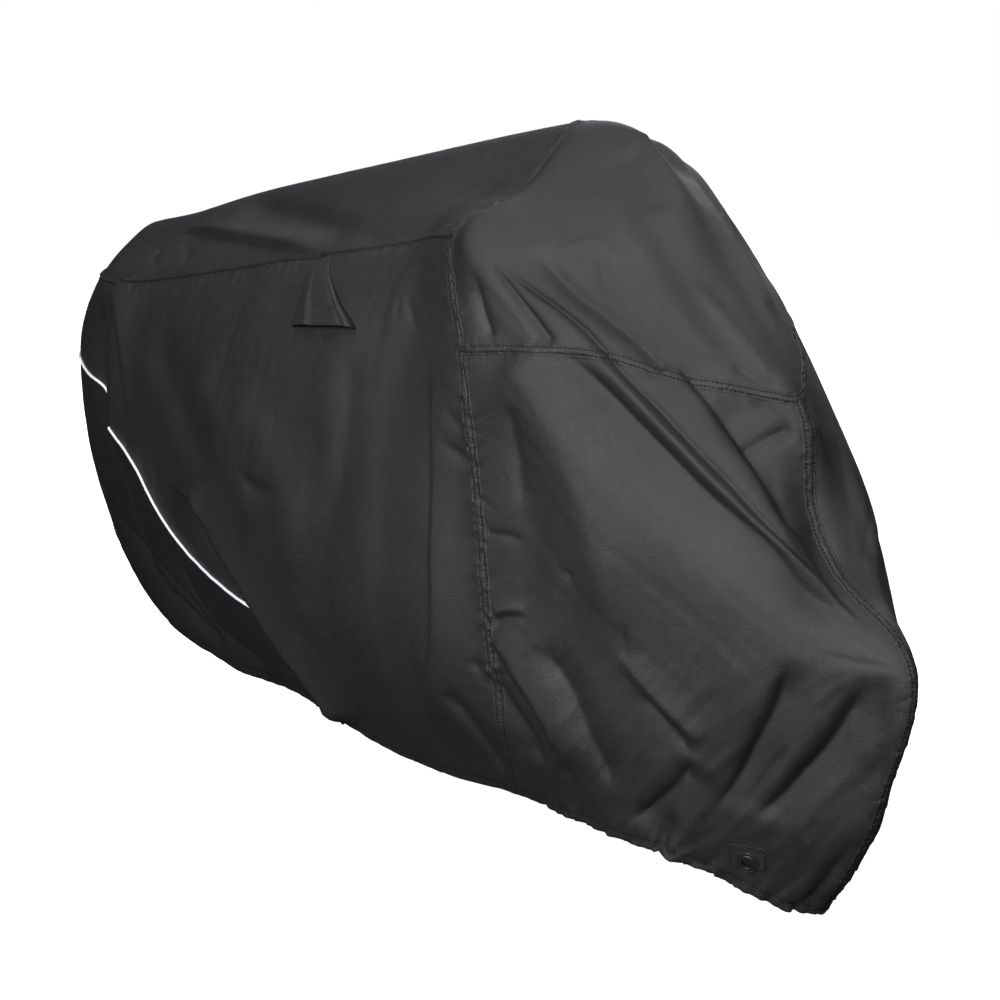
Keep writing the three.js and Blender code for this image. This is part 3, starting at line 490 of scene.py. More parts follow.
def cloth(rib, level, hand):
    """The finished cloth: the smooth shape, lifted along its normal by the folds, drawn onto the patch's
    plane round the eyelet, then lifted by gathers and slack. Past the middle the other hand goes on."""
    rib, level, hand = np.broadcast_arrays(rib, level, hand)
    shape = rib.shape
    rib, level, hand = rib.ravel(), level.ravel(), hand.ravel()
    over = (rib < FRONT) | (rib > TAIL) | (level < RIDGE)
    hand = np.where(over, -hand, hand)
    rib = np.where(rib > TAIL, 2 * TAIL - rib, np.abs(rib))
    level = np.minimum(np.abs(level), HEM)
    n = outward(rib, level, hand)
    p = smooth_cloth(rib, level, hand)
    start = p
    p = p + n * fold_lift(start)[:, None]
    normal = np.where(hand[:, None] == LEFT, patch_normal[LEFT], patch_normal[RIGHT])
    hold, middle = held(p, hand, *FLAT_ROUND_EYELET)
    p = p - normal * (hold * ((p - middle) * normal).sum(1))[:, None]
    lift = slack_lift(start, rib, level)
    for lift_pleats in PLEATS:
        numbers, height = lift_pleats(start)
        lift[numbers] += height
    free = 1 - held(p, hand, *UNGATHERED_ROUND_EYELET)[0]
    return (p + n * (lift * free)[:, None]).reshape(shape + (3,))


def even_steps(first, last, curve, spacing):
    """Values from first to last whose points on a curve lie evenly, about the spacing apart."""
    fine = np.linspace(first, last, 1500)
    run = run_along(curve(fine))
    return np.interp(np.linspace(0, run[-1], int(run[-1] / spacing) + 2), run, fine)


def even_ribs(first, last, level, spacing):
    """Rib numbers evenly spaced along one level."""
    return even_steps(first, last, lambda r: smooth_cloth(r, np.full_like(r, level)), spacing)


def even_levels(first, last, rib, spacing):
    """Level numbers evenly spaced down one rib."""
    return even_steps(first, last, lambda v: smooth_cloth(np.full_like(v, rib), v), spacing)


def grid_ids(points):
    """Vertex numbers of a grid of points."""
    return np.arange(points[..., 0].size).reshape(points.shape[:2])


def grid_faces(ids, flipped=False):
    """Four-sided faces between the rows of a grid of vertex numbers."""
    quads = np.stack([ids[:-1, :-1], ids[1:, :-1], ids[1:, 1:], ids[:-1, 1:]], -1).reshape(-1, 4)
    return quads[:, ::-1] if flipped else quads


def surface_length(points, axis):
    """Length run so far along one axis of a grid of points, in metres."""
    steps = np.linalg.norm(np.diff(points, axis=axis), axis=-1)
    pad = [(1, 0), (0, 0)] if axis == 0 else [(0, 0), (1, 0)]
    return np.cumsum(np.pad(steps, pad), axis=axis)


def put_mesh(name, points, faces, material, uv=None):
    """A mesh object at the origin with smooth faces and, where given, a UV place in metres for each corner of
    each face. Points that no face uses are left out."""
    used, faces = np.unique(faces, return_inverse=True)
    faces = faces.reshape(-1, 4)
    mesh = bpy.data.meshes.new(name)
    mesh.from_pydata(points.reshape(-1, 3)[used].tolist(), [], faces.tolist())
    if uv is not None:
        layer = mesh.uv_layers.new(name="cut")
        layer.data.foreach_set("uv", uv.astype(np.float32).ravel())
    mesh.shade_smooth()
    mesh.materials.append(material)
    obj = bpy.data.objects.new(name, mesh)
    bpy.context.collection.objects.link(obj)
    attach(obj, "root")
    return obj


CLOTH_THICK = 0.8 * MM


def thicken(obj, thick=CLOTH_THICK):
    """Gives a sheet its thickness, to the inside of its outer face."""
    wall = obj.modifiers.new("thickness", "SOLIDIFY")
    wall.thickness = thick
    wall.offset = -1
    wall.use_even_offset = False


def cut_places(points):
    """UV places of a grid on its cut: the run along its middle row and the run down each rib."""
    along = surface_length(points, 0).mean(1, keepdims=True)
    down = surface_length(points, 1)
    return np.stack(np.broadcast_arrays(along, down), -1)


def nodes_of(owner):
    """The nodes of a material or world, and two ways to build them: give sets or links inputs of a node by
    their name, or as _number, and sets its properties, and add makes a node and hands back its output."""
    owner.use_nodes = True
    tree = owner.node_tree

    def give(node, **inputs):
        for key, value in inputs.items():
            place = int(key[1:]) if key[0] == "_" else key.replace("_", " ")
            if isinstance(value, bpy.types.NodeSocket):
                tree.links.new(value, node.inputs[place])
            elif isinstance(place, int) or place in node.inputs:
                node.inputs[place].default_value = value
            else:
                setattr(node, key, value)

    def add(kind, out, **inputs):
        node = tree.nodes.new("ShaderNode" + kind)
        give(node, **inputs)
        return node.outputs[out]

    return tree.nodes, give, add


def coated_cloth(name, smooth=0.50, rough=0.58, shine=0.50):
    """Charcoal polyester with a soft sheen: fine plain weave, small crinkles and a faint uneven tone."""
    material = bpy.data.materials.new(name)
    nodes, give, add = nodes_of(material)
    cut, place = add("UVMap", "UV", uv_map="cut"), add("TexCoord", "Object")
    warp, weft = (add("TexWave", "Fac", Vector=cut, Scale=190.0, Distortion=1.2, Detail=1.0, bands_direction=way)
                  for way in "XY")
    weave = add("Math", 0, operation="MULTIPLY", _0=warp, _1=weft)
    slub = add("TexNoise", "Fac", Vector=cut, Scale=450.0, Detail=3.0, Roughness=0.7)
    crinkle = add("TexNoise", "Fac", Vector=place, Scale=55.0, Detail=4.0, Roughness=0.55)
    bump = add("Bump", "Normal", Height=crinkle, Strength=0.35, Distance=0.0012)
    bump = add("Bump", "Normal", Height=slub, Strength=1.0, Distance=0.0014, Normal=bump)
    bump = add("Bump", "Normal", Height=weave, Strength=0.30, Distance=0.00030, Normal=bump)
    patchy = add("TexNoise", "Fac", Vector=place, Scale=6.0, Detail=3.0)
    tone = add("MapRange", "Result", Value=patchy, From_Min=0.3, From_Max=0.7)
    colour = add("Mix", 2, data_type="RGBA", _0=tone, _6=(0.0095, 0.0097, 0.0104, 1),
                 _7=(0.0125, 0.0128, 0.0136, 1))
    gloss = add("MapRange", "Result", Value=crinkle, From_Min=0.3, From_Max=0.7, To_Min=smooth, To_Max=rough)
    give(nodes["Principled BSDF"], Base_Color=colour, Roughness=gloss, Normal=bump, Specular_IOR_Level=shine)
    return material


CLOTH = coated_cloth("coated polyester")
HOOD_SPACING = 4.6 * MM


def over_both_sides(name, ribs, levels, closed_row):
    """One sheet over both sides: its levels run from the left edge over the ridge to the right edge. The row
    where it crosses the middle at the nose or tail is one line of points for both sides."""
    signed = np.concatenate([-levels[:0:-1], levels])
    points = cloth(ribs[:, None], signed[None, :], RIGHT)
    ids = grid_ids(points)
    uv = cut_places(points).reshape(-1, 2)[grid_faces(ids)]
    ids[closed_row, :len(levels) - 1] = ids[closed_row, :len(levels) - 1:-1]
    return put_mesh(name, points, grid_faces(ids), CLOTH, uv)


hood_ribs = even_ribs(FRONT, SIDE_SEAM, WAIST, HOOD_SPACING)
hood_levels = even_levels(RIDGE, WAIST, 2.5, HOOD_SPACING)
hood = over_both_sides("front_hood_cloth", hood_ribs, hood_levels, 0)
thicken(hood)
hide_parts("front_hood")

# Top panel
# The roof behind the hood: one cut over both sides, round the tail. It is sewn to the side panels
# in the top seam.
TOP_SPACING = 6.2 * MM
top_ribs = even_ribs(SIDE_SEAM, TAIL, 1.5, TOP_SPACING)
top_levels = even_levels(RIDGE, SHOULDER, 8.0, TOP_SPACING)
top = over_both_sides("top_panel_cloth", top_ribs, top_levels, -1)
thicken(top)
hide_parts("top_panel")

# Lower front panels, right and left
# Cut from the same cloth and joined along the middle of the nose. They run from the cross seam
# down to the hem, which turns in round its elastic.
HANDS = {RIGHT: "right", LEFT: "left"}
HEM_ROUND = 4 * MM  # radius at which the hem turns in
LOWER_FRONT_SPACING = {RIGHT: 4.3 * MM, LEFT: 7.0 * MM}
PUNCHED = 13.5 * MM  # radius of the hole for the eyelet, under its flange


def running_mean(rows, reach=4):
    """Each row averaged with the rows up to reach before and after it."""
    padded = np.pad(rows, [(reach, reach), (0, 0)], mode="edge")
    return sum(padded[k:k + len(rows)] for k in range(2 * reach + 1)) / (2 * reach + 1)


def with_hem(points, hand, radius):
    """A grid with five more rows: from its last row the cloth turns in through a half circle."""
    down = unit(running_mean(points[:, -1] - points[:, -3]))
    out = -hand * unit(np.cross(running_mean(np.gradient(points[:, -1], axis=0)), down))
    turn = np.radians([36, 72, 108, 144, 180])
    rows = [points[:, -1] + radius[:, None] * (np.sin(a) * down + (np.cos(a) - 1) * out) for a in turn]
    return np.concatenate([points, np.stack(rows, 1)], 1)


def one_side(name, points, hand, punched=0.0, made_of=CLOTH):
    """A sheet of one side from its grid of points, its faces outwards on either hand. Faces whose middle lies
    within the punched radius of the eyelet are left out."""
    ids = grid_ids(points)
    faces = grid_faces(ids, hand == LEFT)
    away = points.reshape(-1, 3)[faces].mean(1) - patch_middle[hand]
    faces = faces[np.linalg.norm(away, axis=1) > punched]
    uv = cut_places(points).reshape(-1, 2)[faces]
    obj = put_mesh(name, points, faces, made_of, uv)
    thicken(obj)
    return obj


for hand, which in HANDS.items():
    spacing = LOWER_FRONT_SPACING[hand]
    ribs = even_ribs(FRONT, SIDE_SEAM, 4.6, spacing)
    levels = even_levels(WAIST, HEM, 2.5, spacing)
    points = cloth(ribs[:, None], levels[None, :], hand)
    points = with_hem(points, hand, np.full(len(ribs), HEM_ROUND))
    one_side("lower_front_cloth_" + which, points, hand, PUNCHED)
    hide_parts("lower_front_panel_" + which)

# Side panels, right and left
# They hang from the top seam. Their lower edge is hem as far back as the piped seam, and from
# there on it is sewn to the lower rear panel.
SIDE_SPACING = {RIGHT: 6.3 * MM, LEFT: 10.0 * MM}
PIPING_START = 7.9  # the rib where the piped seam leaves the hem
# The piped seam: rib, and height over the ground in mm
PIPED_SEAM = ((7.9, 152), (8.3, 215), (8.7, 257), (9.3, 298), (9.8, 340), (10.15, 400),
              (10.5, 480), (10.9, 562), (11.3, 610), (11.8, 634), (13.0, 640))
HALVINGS = 26


def piping_level(rib):
    """The level at which each rib passes the piped seam's height, by halving. Before it starts, the hem."""
    at, height = np.array(PIPED_SEAM).T
    aim = np.interp(rib, at, height) * MM - TOP_POINT[2]
    upper, lower = np.full_like(rib, WAIST), np.full_like(rib, HEM)
    for _ in range(HALVINGS):
        middle = (upper + lower) / 2
        above = smooth_cloth(rib, middle)[..., 2] > aim
        upper, lower = np.where(above, middle, upper), np.where(above, lower, middle)
    return np.where(rib <= PIPING_START, HEM, (upper + lower) / 2)


for hand, which in HANDS.items():
    spacing = SIDE_SPACING[hand]
    ribs = even_ribs(SIDE_SEAM, TAIL, 4.0, spacing)
    ribs[np.abs(ribs - PIPING_START).argmin()] = PIPING_START
    share = (even_levels(SHOULDER, HEM, 7.0, spacing) - SHOULDER) / (HEM - SHOULDER)
    lower = piping_level(ribs)
    levels = SHOULDER + (lower[:, None] - SHOULDER) * share
    points = cloth(ribs[:, None], levels, hand)
    points = with_hem(points, hand, np.where(ribs <= PIPING_START, HEM_ROUND, HEM_ROUND / 3))
    one_side("side_cloth_" + which, points, hand)
    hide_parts("side_panel_" + which)

# Lower rear panels, right and left
# The cloth below the piped seam, round the tail. Its front part lies under the lap of the side
# panel.
LOWER_REAR_SPACING = {RIGHT: 6.5 * MM, LEFT: 9.0 * MM}
LOWER_REAR_START, LOWER_REAR_TALL = 7.91, 0.36  # its first rib, and its longest run down in metres
# Painted shade: a copy of the cloth with rougher gloss and less shine, so the lower rear panels come out darker,
# standing in for the shade under the lap and on the cloth turned away from the lamps
PAINTED_SHADE_CLOTH = coated_cloth("coated polyester, worn dull", 0.62, 0.70, 0.20)
for hand, which in HANDS.items():
    spacing = LOWER_REAR_SPACING[hand]
    ribs = even_ribs(LOWER_REAR_START, TAIL, 6.0, spacing)
    share = np.linspace(0, 1, int(LOWER_REAR_TALL / spacing))
    upper = piping_level(ribs)
    levels = upper[:, None] + (HEM - upper[:, None]) * share
    points = cloth(ribs[:, None], levels, hand)
    points = with_hem(points, hand, np.full(len(ribs), HEM_ROUND))
    one_side("lower_rear_cloth_" + which, points, hand, made_of=PAINTED_SHADE_CLOTH)
    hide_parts("lower_rear_panel_" + which)

# Reflective piping, right and left
# A white reflective cord in a narrow folded strip, caught in the seam between the side and the
# lower rear panel.
PIPING_RADIUS = 3.0 * MM
PIPING_STANDS = 0.8 * MM  # how far its middle lies over the cloth's outer face
PIPING_SIDES = 12
PIPING_SHOWS_FROM = 8.35  # the rib where it comes out from under the lap
FOLD_OVER_PIPING = (10.86, 11.16)  # ribs between which the fold by the tail hides it
PIPING_UNDER_FOLD = 14 * MM


def along_seam(line, hand):
    """Points on the finished cloth along a line, with their way and their outward normal."""
    points = cloth(line.rib, line.level, hand)
    way = unit(np.gradient(points, axis=0))
    out = unit(line.normal - way * (line.normal * way).sum(1, keepdims=True))
    return points, way, out


def closed_tube(path, out, way, radius, sides):
    """A round cord along a path, closed at both ends: rings of points round the path, each end drawn in."""
    across = np.cross(way, out)
    turn = np.linspace(0, 2 * np.pi, sides, endpoint=False)
    ring = np.cos(turn)[:, None, None] * out + np.sin(turn)[:, None, None] * across
    size = np.full(len(path), radius)
    size[[0, -1]] = radius * 0.02
    points = path[None] + ring * size[None, :, None]
    return points, grid_faces(np.vstack([grid_ids(points), grid_ids(points)[:1]]))


# White reflective tape: fine glass-bead grain, slightly glossy, a little grey with dust
BAND = bpy.data.materials.new("reflective band")
nodes, give, add = nodes_of(BAND)
place = add("TexCoord", "Object")
grain = add("TexNoise", "Fac", Vector=place, Scale=900.0, Detail=2.0)
dust = add("TexNoise", "Fac", Vector=place, Scale=40.0, Detail=3.0)
colour = add("Mix", 2, data_type="RGBA", _0=dust, _6=(0.66, 0.68, 0.70, 1), _7=(0.86, 0.87, 0.88, 1))
bump = add("Bump", "Normal", Height=grain, Strength=0.4, Distance=0.0002)
give(nodes["Principled BSDF"], Base_Color=colour, Normal=bump, Roughness=0.38)

for hand, which in HANDS.items():
    ribs = even_ribs(PIPING_SHOWS_FROM, TAIL, 6.0, 3 * MM)
    route = line_on_cloth(np.stack([ribs, piping_level(ribs)], 1)[::8], hand, 3 * MM)
    path, way, out = along_seam(route, hand)
    sunk = PIPING_UNDER_FOLD * between(route.rib, *FOLD_OVER_PIPING, 0.02)[:, None]
    points, faces = closed_tube(path + out * (PIPING_STANDS - sunk), out, way, PIPING_RADIUS, PIPING_SIDES)
    put_mesh("reflective_piping_" + which, points, faces, BAND)
    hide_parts("piping_" + which)

# Seams and their stitching
# The cross seam, side seams and middle seam are felled: the lap between two rows of stitches puffs
# up, and the thread draws it into small ladder puckers. The top seam is a single raised welt.
Seam = namedtuple("Seam", "name route rows puff groove ladder half left_hand lap", defaults=(0.0,))
SEAMS = (
    Seam("cross_seam", CROSS, (-5.2, 5.2), 1.2, 2.0, 1.5, 10.5, True),
    Seam("side_seam", DOWN_SIDE, (-6.8, 6.8), 0.9, 2.6, 0.9, 14.0, True),
    Seam("middle_seam", MIDDLE, (-5.2, 5.2), 1.3, 1.7, 1.5, 10.5, False),
    Seam("top_seam", TOP_EDGE, (-5.5,), 0.3, 1.3, 0.6, 9.0, True, 3.6),
    Seam("tail_seam", [(13, k) for k in range(2, 8)], (4.0,), 1.0, 0.5, 0.5, 8.0, False),
)
BAND_STEP, BAND_ROWS = 2.0 * MM, 15
STITCH_PITCH, STITCH_LONG, STITCH_THICK = 7.0 * MM, 4.2 * MM, 1.15 * MM
LADDER_PITCH, LADDER_WIDE, LADDER_REACH = 6.0 * MM, 1.5 * MM, 8 * MM
BAND_LIFT, EDGE_DIP, EDGE_WIDE = 0.85, 2.0, 2.2  # mm over the panels, and down at the edges over what width
GROOVE_WIDE, PUFF_SOFT = 1.3 * MM, 2.5 * MM


def steps_beside(line):
    """The steps in rib and level that go 1 m to the left of a line: the pair that solves the 2 x 2 equations of
    the smooth shape's slopes along the ribs and down them."""
    e = 0.02
    rib, level = np.clip(line.rib, e, TAIL - e), np.clip(line.level, e, HEM - e)
    by_rib = (smooth_cloth(rib + e, level) - smooth_cloth(rib - e, level)) / (2 * e)
    by_level = (smooth_cloth(rib, level + e) - smooth_cloth(rib, level - e)) / (2 * e)
    a, b, c = (by_rib**2).sum(1), (by_rib * by_level).sum(1), (by_level**2).sum(1)
    p, q = (by_rib * line.left).sum(1), (by_level * line.left).sum(1)
    det = a * c - b * b
    return (c * p - b * q) / det, (a * q - b * p) / det


def seam_band(seam, hand):
    """The strip of cloth along a seam: sunk along its stitch rows, puffed up between them and crossed by the
    ladder puckers, its two long edges dipping just under the panels."""
    line = line_on_cloth(seam.route, RIGHT, BAND_STEP)
    aside = np.linspace(-seam.half, seam.half, BAND_ROWS) * MM
    to_rib, to_level = steps_beside(line)
    rib = line.rib[:, None] + to_rib[:, None] * aside
    level = line.level[:, None] + to_level[:, None] * aside
    points = cloth(rib, level, hand)
    out = unit(np.cross(np.gradient(points, axis=0), np.gradient(points, axis=1)))
    out = out * np.sign((out * (line.normal * (1, -hand, 1))[:, None]).sum(-1, keepdims=True))
    rows = np.array(seam.rows) * MM
    d = aside[None, :]
    dips = sum(np.exp(-((d - row) / GROOVE_WIDE) ** 2) for row in rows)
    puff = np.exp(-((d - rows.mean()) / (abs(rows[0] - rows.mean()) + PUFF_SOFT)) ** 4)
    draw = np.random.default_rng((len(seam.name), int(2 + hand)))
    count = int(line.run[-1] / LADDER_PITCH)
    at = (np.arange(count) + draw.uniform(0.2, 0.8, count)) * LADDER_PITCH
    slant, deep = draw.normal(0, 0.25, count), draw.uniform(0.3, 1.0, count)
    off = line.run[:, None, None] - at - slant * d[..., None]
    ladder = (deep * np.exp(-(off / LADDER_WIDE) ** 2)).sum(-1)
    ladder = ladder * np.exp(-(d / LADDER_REACH) ** 4)
    lift = BAND_LIFT + seam.puff * puff - seam.groove * dips - seam.ladder * ladder
    lift = lift + seam.lap * (smooth_step(0.5 - d / (1.8 * MM)) * smooth_step(1 + d / (9 * MM))
                              - 1.1 * np.exp(-((d - 2.2 * MM) / (1.8 * MM)) ** 2))
    under = smooth_step((np.abs(d) / MM - (seam.half - EDGE_WIDE)) / EDGE_WIDE) * EDGE_DIP
    return points + out * ((lift - under) * MM)[..., None], out, line, aside


def stitch_shape():
    """One stitch: a short round bar of five sides along x, drawn in at both ends."""
    turn = np.linspace(0, 2 * np.pi, 5, endpoint=False)
    rings = [(-0.5, 0.35), (-0.25, 1.0), (0.25, 1.0), (0.5, 0.35)]
    points = np.array([(x * STITCH_LONG, r * STITCH_THICK * np.cos(t), r * STITCH_THICK * np.sin(t))
                       for x, r in rings for t in turn])
    ids = np.arange(20).reshape(4, 5)
    ids = np.hstack([ids, ids[:, :1]])
    return points, grid_faces(ids, True)


def stitches_along(points, out):
    """A row of stitches on a row of points: copies of one stitch, each turned along the row."""
    run = run_along(points)
    at = np.arange(STITCH_PITCH / 2, run[-1], STITCH_PITCH)

    def pick(values, where):
        return np.stack([np.interp(where, run, values[:, k]) for k in range(3)], 1)

    middle, n = pick(points, at), pick(out, at)
    way = unit(pick(points, at + STITCH_LONG / 2) - pick(points, at - STITCH_LONG / 2))
    n = unit(n - way * (n * way).sum(1, keepdims=True))
    across = np.cross(n, way)
    shape, faces = stitch_shape()
    placed = (middle[:, None] + shape[None, :, :1] * way[:, None] + shape[None, :, 1:2] * across[:, None]
              + (shape[None, :, 2:] + STITCH_THICK * 0.3) * n[:, None])
    every = faces[None] + (np.arange(len(at)) * len(shape))[:, None, None]
    return placed.reshape(-1, 3), every.reshape(-1, 4)


def join_parts(parts):
    """Several (points, faces) as one, the face numbers moved on."""
    starts = np.cumsum([0] + [len(points) for points, faces in parts[:-1]])
    return (np.concatenate([points for points, faces in parts]),
            np.concatenate([faces + start for (points, faces), start in zip(parts, starts)]))


# Black spun polyester thread: twisted plies, duller than the cloth
THREAD = bpy.data.materials.new("dark thread")
nodes, give, add = nodes_of(THREAD)
twist = add("TexWave", "Fac", Vector=add("TexCoord", "Object"), Scale=700.0, Distortion=3.0,
            bands_direction="DIAGONAL")
colour = add("Mix", 2, data_type="RGBA", _0=twist, _6=(0.003, 0.003, 0.003, 1), _7=(0.006, 0.006, 0.007, 1))
give(nodes["Principled BSDF"], Base_Color=colour, Roughness=0.8, Specular_IOR_Level=0.15)

for seam in SEAMS:
    bands, threads, uvs = [], [], []
    for hand in (RIGHT, LEFT) if seam.left_hand else (RIGHT,):
        points, out, line, aside = seam_band(seam, hand)
        ids = grid_ids(points)
        faces = grid_faces(ids, hand == LEFT)
        bands.append((points.reshape(-1, 3), faces))
        uvs.append(cut_places(points).reshape(-1, 2)[faces])
        for row in seam.rows:
            k = np.abs(aside - row * MM).argmin()
            threads.append(stitches_along(points[:, k], out[:, k]))
    band = put_mesh(seam.name, *join_parts(bands), CLOTH, np.concatenate(uvs))
    thread = put_mesh(seam.name + "_stitches", *join_parts(threads), THREAD)

# Hem stitching
# One row of stitches holds the channel of the elastic, a finger's width above the edge.
HEM_CHANNEL = 17 * MM
threads = []
for hand in (RIGHT, LEFT):
    line = line_on_cloth([(rib, 7) for rib in range(14)], RIGHT, BAND_STEP)
    to_rib, to_level = steps_beside(line)
    rib, level = line.rib - to_rib * HEM_CHANNEL, line.level - to_level * HEM_CHANNEL
    points = cloth(rib, level, hand)
    out = line.normal * (1, -hand, 1)
    threads.append(stitches_along(points + out * 0.2 * MM, out))
hem_thread = put_mesh("hem_stitches", *join_parts(threads), THREAD)

# Vent hoods, right and left
# A gusseted flap sewn on under the top seam and open below. It has two creases down its length and
# ends in a narrow hem, and its front edge bulges past its seam.
VENT_DOWN = (0.0, 0.35, 0.7, 1.0)  # share of the way down at which the edges are given
VENT_REAR = ((7.57, 2.05), (7.58, 2.30), (7.58, 2.56), (7.60, 2.82))
VENT_FRONT = ((7.38, 2.05), (7.27, 2.30), (7.06, 2.58), (6.80, 2.83))
# How far it stands out at shares of its width from front to rear, as shares of its height there
VENT_ACROSS = (0.0, 0.02, 0.05, 0.10, 0.16, 0.60, 0.70, 0.95, 1.0)
VENT_STANDS = (0.0, 0.55, 0.84, 0.76, 0.86, 0.80, 1.00, 0.48, 0.0)
VENT_LOW, VENT_HIGH, VENT_BULGE = 1.5 * MM, 22 * MM, 5 * MM
VENT_SAGS, VENT_HEM = ((0.82, -0.06), (0.90, 0.10)), 0.94  # share of the way down, and the sags' tilt
VENT_HEM_ROUND = 1.4 * MM
VENT_CELLS = {RIGHT: 60, LEFT: 40}


def vent_surface(hand):
    """The flap between its two edges on the side panel: lifted by its stand across times its height, which
    grows as the 1.5th power of the way down, with small sags and a raised hem near its lower edge."""
    u, down = np.meshgrid(*[np.linspace(0, 1, VENT_CELLS[hand])] * 2, indexing="ij")
    front, rear = ([np.interp(down, VENT_DOWN, [row[k] for row in edge]) for k in (0, 1)]
                   for edge in (VENT_FRONT, VENT_REAR))
    rib, level = (front[k] + (rear[k] - front[k]) * u for k in (0, 1))
    points, n = cloth(rib, level, hand), outward(rib, level, hand)
    height = np.interp(u, VENT_ACROSS, VENT_STANDS) * (VENT_LOW + VENT_HIGH * down ** 1.5)
    sag = sum(np.exp(-((down - at - tilt * (u - 0.4)) / 0.022) ** 2) * between(u, 0.2, 0.6, 0.15)
              for at, tilt in VENT_SAGS)
    hem = smooth_step((down - VENT_HEM) / 0.015) - 1.2 * np.exp(-((down - 0.935) / 0.01) ** 2)
    inside = between(u, 0.05, 0.95, 0.05)
    height = height + (0.5 + (1.3 * hem - 1.2 * sag) * inside) * MM
    forward = unit(points[:1] - points[-1:])
    bulge = VENT_BULGE * down ** 1.2 * np.exp(-((u - 0.035) / 0.03) ** 2)
    return points + n * height[..., None] + forward * bulge[..., None]


for hand, which in HANDS.items():
    points = vent_surface(hand)
    points = with_hem(points, hand, np.full(len(points), VENT_HEM_ROUND))
    one_side("vent_cloth_" + which, points, hand)
    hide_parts("vent_hood_" + which)

# Eyelet patches, right and left
# A rounded square of doubled cloth, sewn flat over the front hem with one row of stitches and
# punched for the eyelet.
PATCH_HALF, PATCH_ABOVE, PATCH_BELOW = 34 * MM, 32 * MM, 17 * MM
PATCH_HOLE, PATCH_TOP, PATCH_EDGE = 11.8 * MM, 1.1 * MM, 0.3 * MM
PATCH_ROW, PATCH_THICK = 4 * MM, 0.4 * MM  # distance of the stitches from the edge
PATCH_ROUND, PATCH_SQUARE = 161, 7  # points round it; how square its outline is; 2 would be an ellipse


def patch_outline(turn, inset=0.0):
    """The rounded square as a superellipse, drawn in by the inset: places to the front and down."""
    c, s = np.cos(turn), np.sin(turn)
    middle, tall = (PATCH_BELOW - PATCH_ABOVE) / 2, (PATCH_BELOW + PATCH_ABOVE) / 2
    front = (PATCH_HALF - inset) * np.sign(c) * np.abs(c) ** (2 / PATCH_SQUARE)
    down = middle + (tall - inset) * np.sign(s) * np.abs(s) ** (2 / PATCH_SQUARE)
    return np.stack([front, down], -1)


def on_patch(place, height, hand):
    """Places to the front and down on the patch's plane, raised by a height, as points in the frame."""
    n = patch_normal[hand]
    down = unit(np.array([0.0, 0.0, -1.0]) + n * n[2])
    front = np.cross(down, n)
    front = front if front[0] > 0 else -front
    return patch_middle[hand] + place[..., :1] * front + place[..., 1:] * down + height[..., None] * n


patch = {}
for hand, which in HANDS.items():
    turn = np.linspace(0, 2 * np.pi, PATCH_ROUND)[:, None]
    share = np.linspace(0, 1, 26)[None, :] ** 0.8
    edge = patch_outline(turn)
    hole = PATCH_HOLE * np.stack([np.cos(turn), np.sin(turn)], -1)
    place = hole + (edge - hole) * share[..., None]
    rim = np.linalg.norm(edge - place, axis=-1)
    height = PATCH_EDGE + (PATCH_TOP - PATCH_EDGE) * (1 - np.exp(-(rim / (3.5 * MM)) ** 2))
    height = height - 0.6 * MM * np.exp(-((rim - PATCH_ROW) / (1.2 * MM)) ** 2)
    waves = swells(on_patch(place, height, hand).reshape(-1, 3), 9 * MM, 51).reshape(rim.shape)
    height = height + 0.4 * MM * waves
    points = on_patch(place, height, hand)
    ids = grid_ids(points)
    ids[-1] = ids[0]
    faces = grid_faces(ids, hand == RIGHT)
    patch[hand] = put_mesh("patch_cloth_" + which, points, faces, CLOTH, place.reshape(-1, 2)[faces])
    thicken(patch[hand], PATCH_THICK)
    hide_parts("eyelet_patch_" + which)
    row = on_patch(patch_outline(turn[:, 0], PATCH_ROW), np.full(PATCH_ROUND, PATCH_TOP - PATCH_THICK), hand)
    out = np.tile(patch_normal[hand], (PATCH_ROUND, 1))
    put_mesh("patch_stitches_" + which, *stitches_along(row, out), THREAD)

# Eyelets, right and left
# A pressed brass ring with a black coating, dished between its rolled outer rim and the rolled rim
# of its hole. Its section is given once round, as radius and height over the patch in mm.
EYELET_SECTION = ((10.0, -3.6), (10.0, 0.4), (10.1, 1.9), (10.6, 2.9), (11.4, 3.0), (12.4, 2.2), (14.0, 1.1),
                  (15.8, 0.9), (17.0, 1.5), (17.8, 2.0), (18.6, 1.2), (18.7, 0.2), (18.4, -0.2), (11.4, -0.3),
                  (11.4, -3.0), (18.3, -3.2), (18.4, -4.2), (10.6, -4.4))
EYELET_ROUND = 72  # points round it

# Black baked enamel on brass: smooth, with faint scuffs
ENAMEL = bpy.data.materials.new("black enamel")
nodes, give, add = nodes_of(ENAMEL)
scuffs = add("TexNoise", "Fac", Vector=add("TexCoord", "Object"), Scale=260.0, Detail=4.0)
gloss = add("MapRange", "Result", Value=scuffs, From_Min=0.3, From_Max=0.7, To_Min=0.30, To_Max=0.45)
dent = add("Bump", "Normal", Height=scuffs, Strength=0.15, Distance=0.0003)
give(nodes["Principled BSDF"], Base_Color=(0.012, 0.012, 0.013, 1), Roughness=gloss, Normal=dent)

for hand, which in HANDS.items():
    turn = np.linspace(0, 2 * np.pi, EYELET_ROUND, endpoint=False)[:, None]
    radius, height = np.array(EYELET_SECTION).T * MM
    place = radius[None, :, None] * np.stack([np.cos(turn), np.sin(turn)], -1)
    points = on_patch(place, np.broadcast_to(height + PATCH_TOP, place.shape[:2]), hand)
    ids = np.vstack([grid_ids(points), grid_ids(points)[:1]])
    ids = np.hstack([ids, ids[:, :1]])
    eyelet = put_mesh("eyelet_ring_" + which, points, grid_faces(ids, hand == RIGHT), ENAMEL)
    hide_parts("eyelet_" + which)

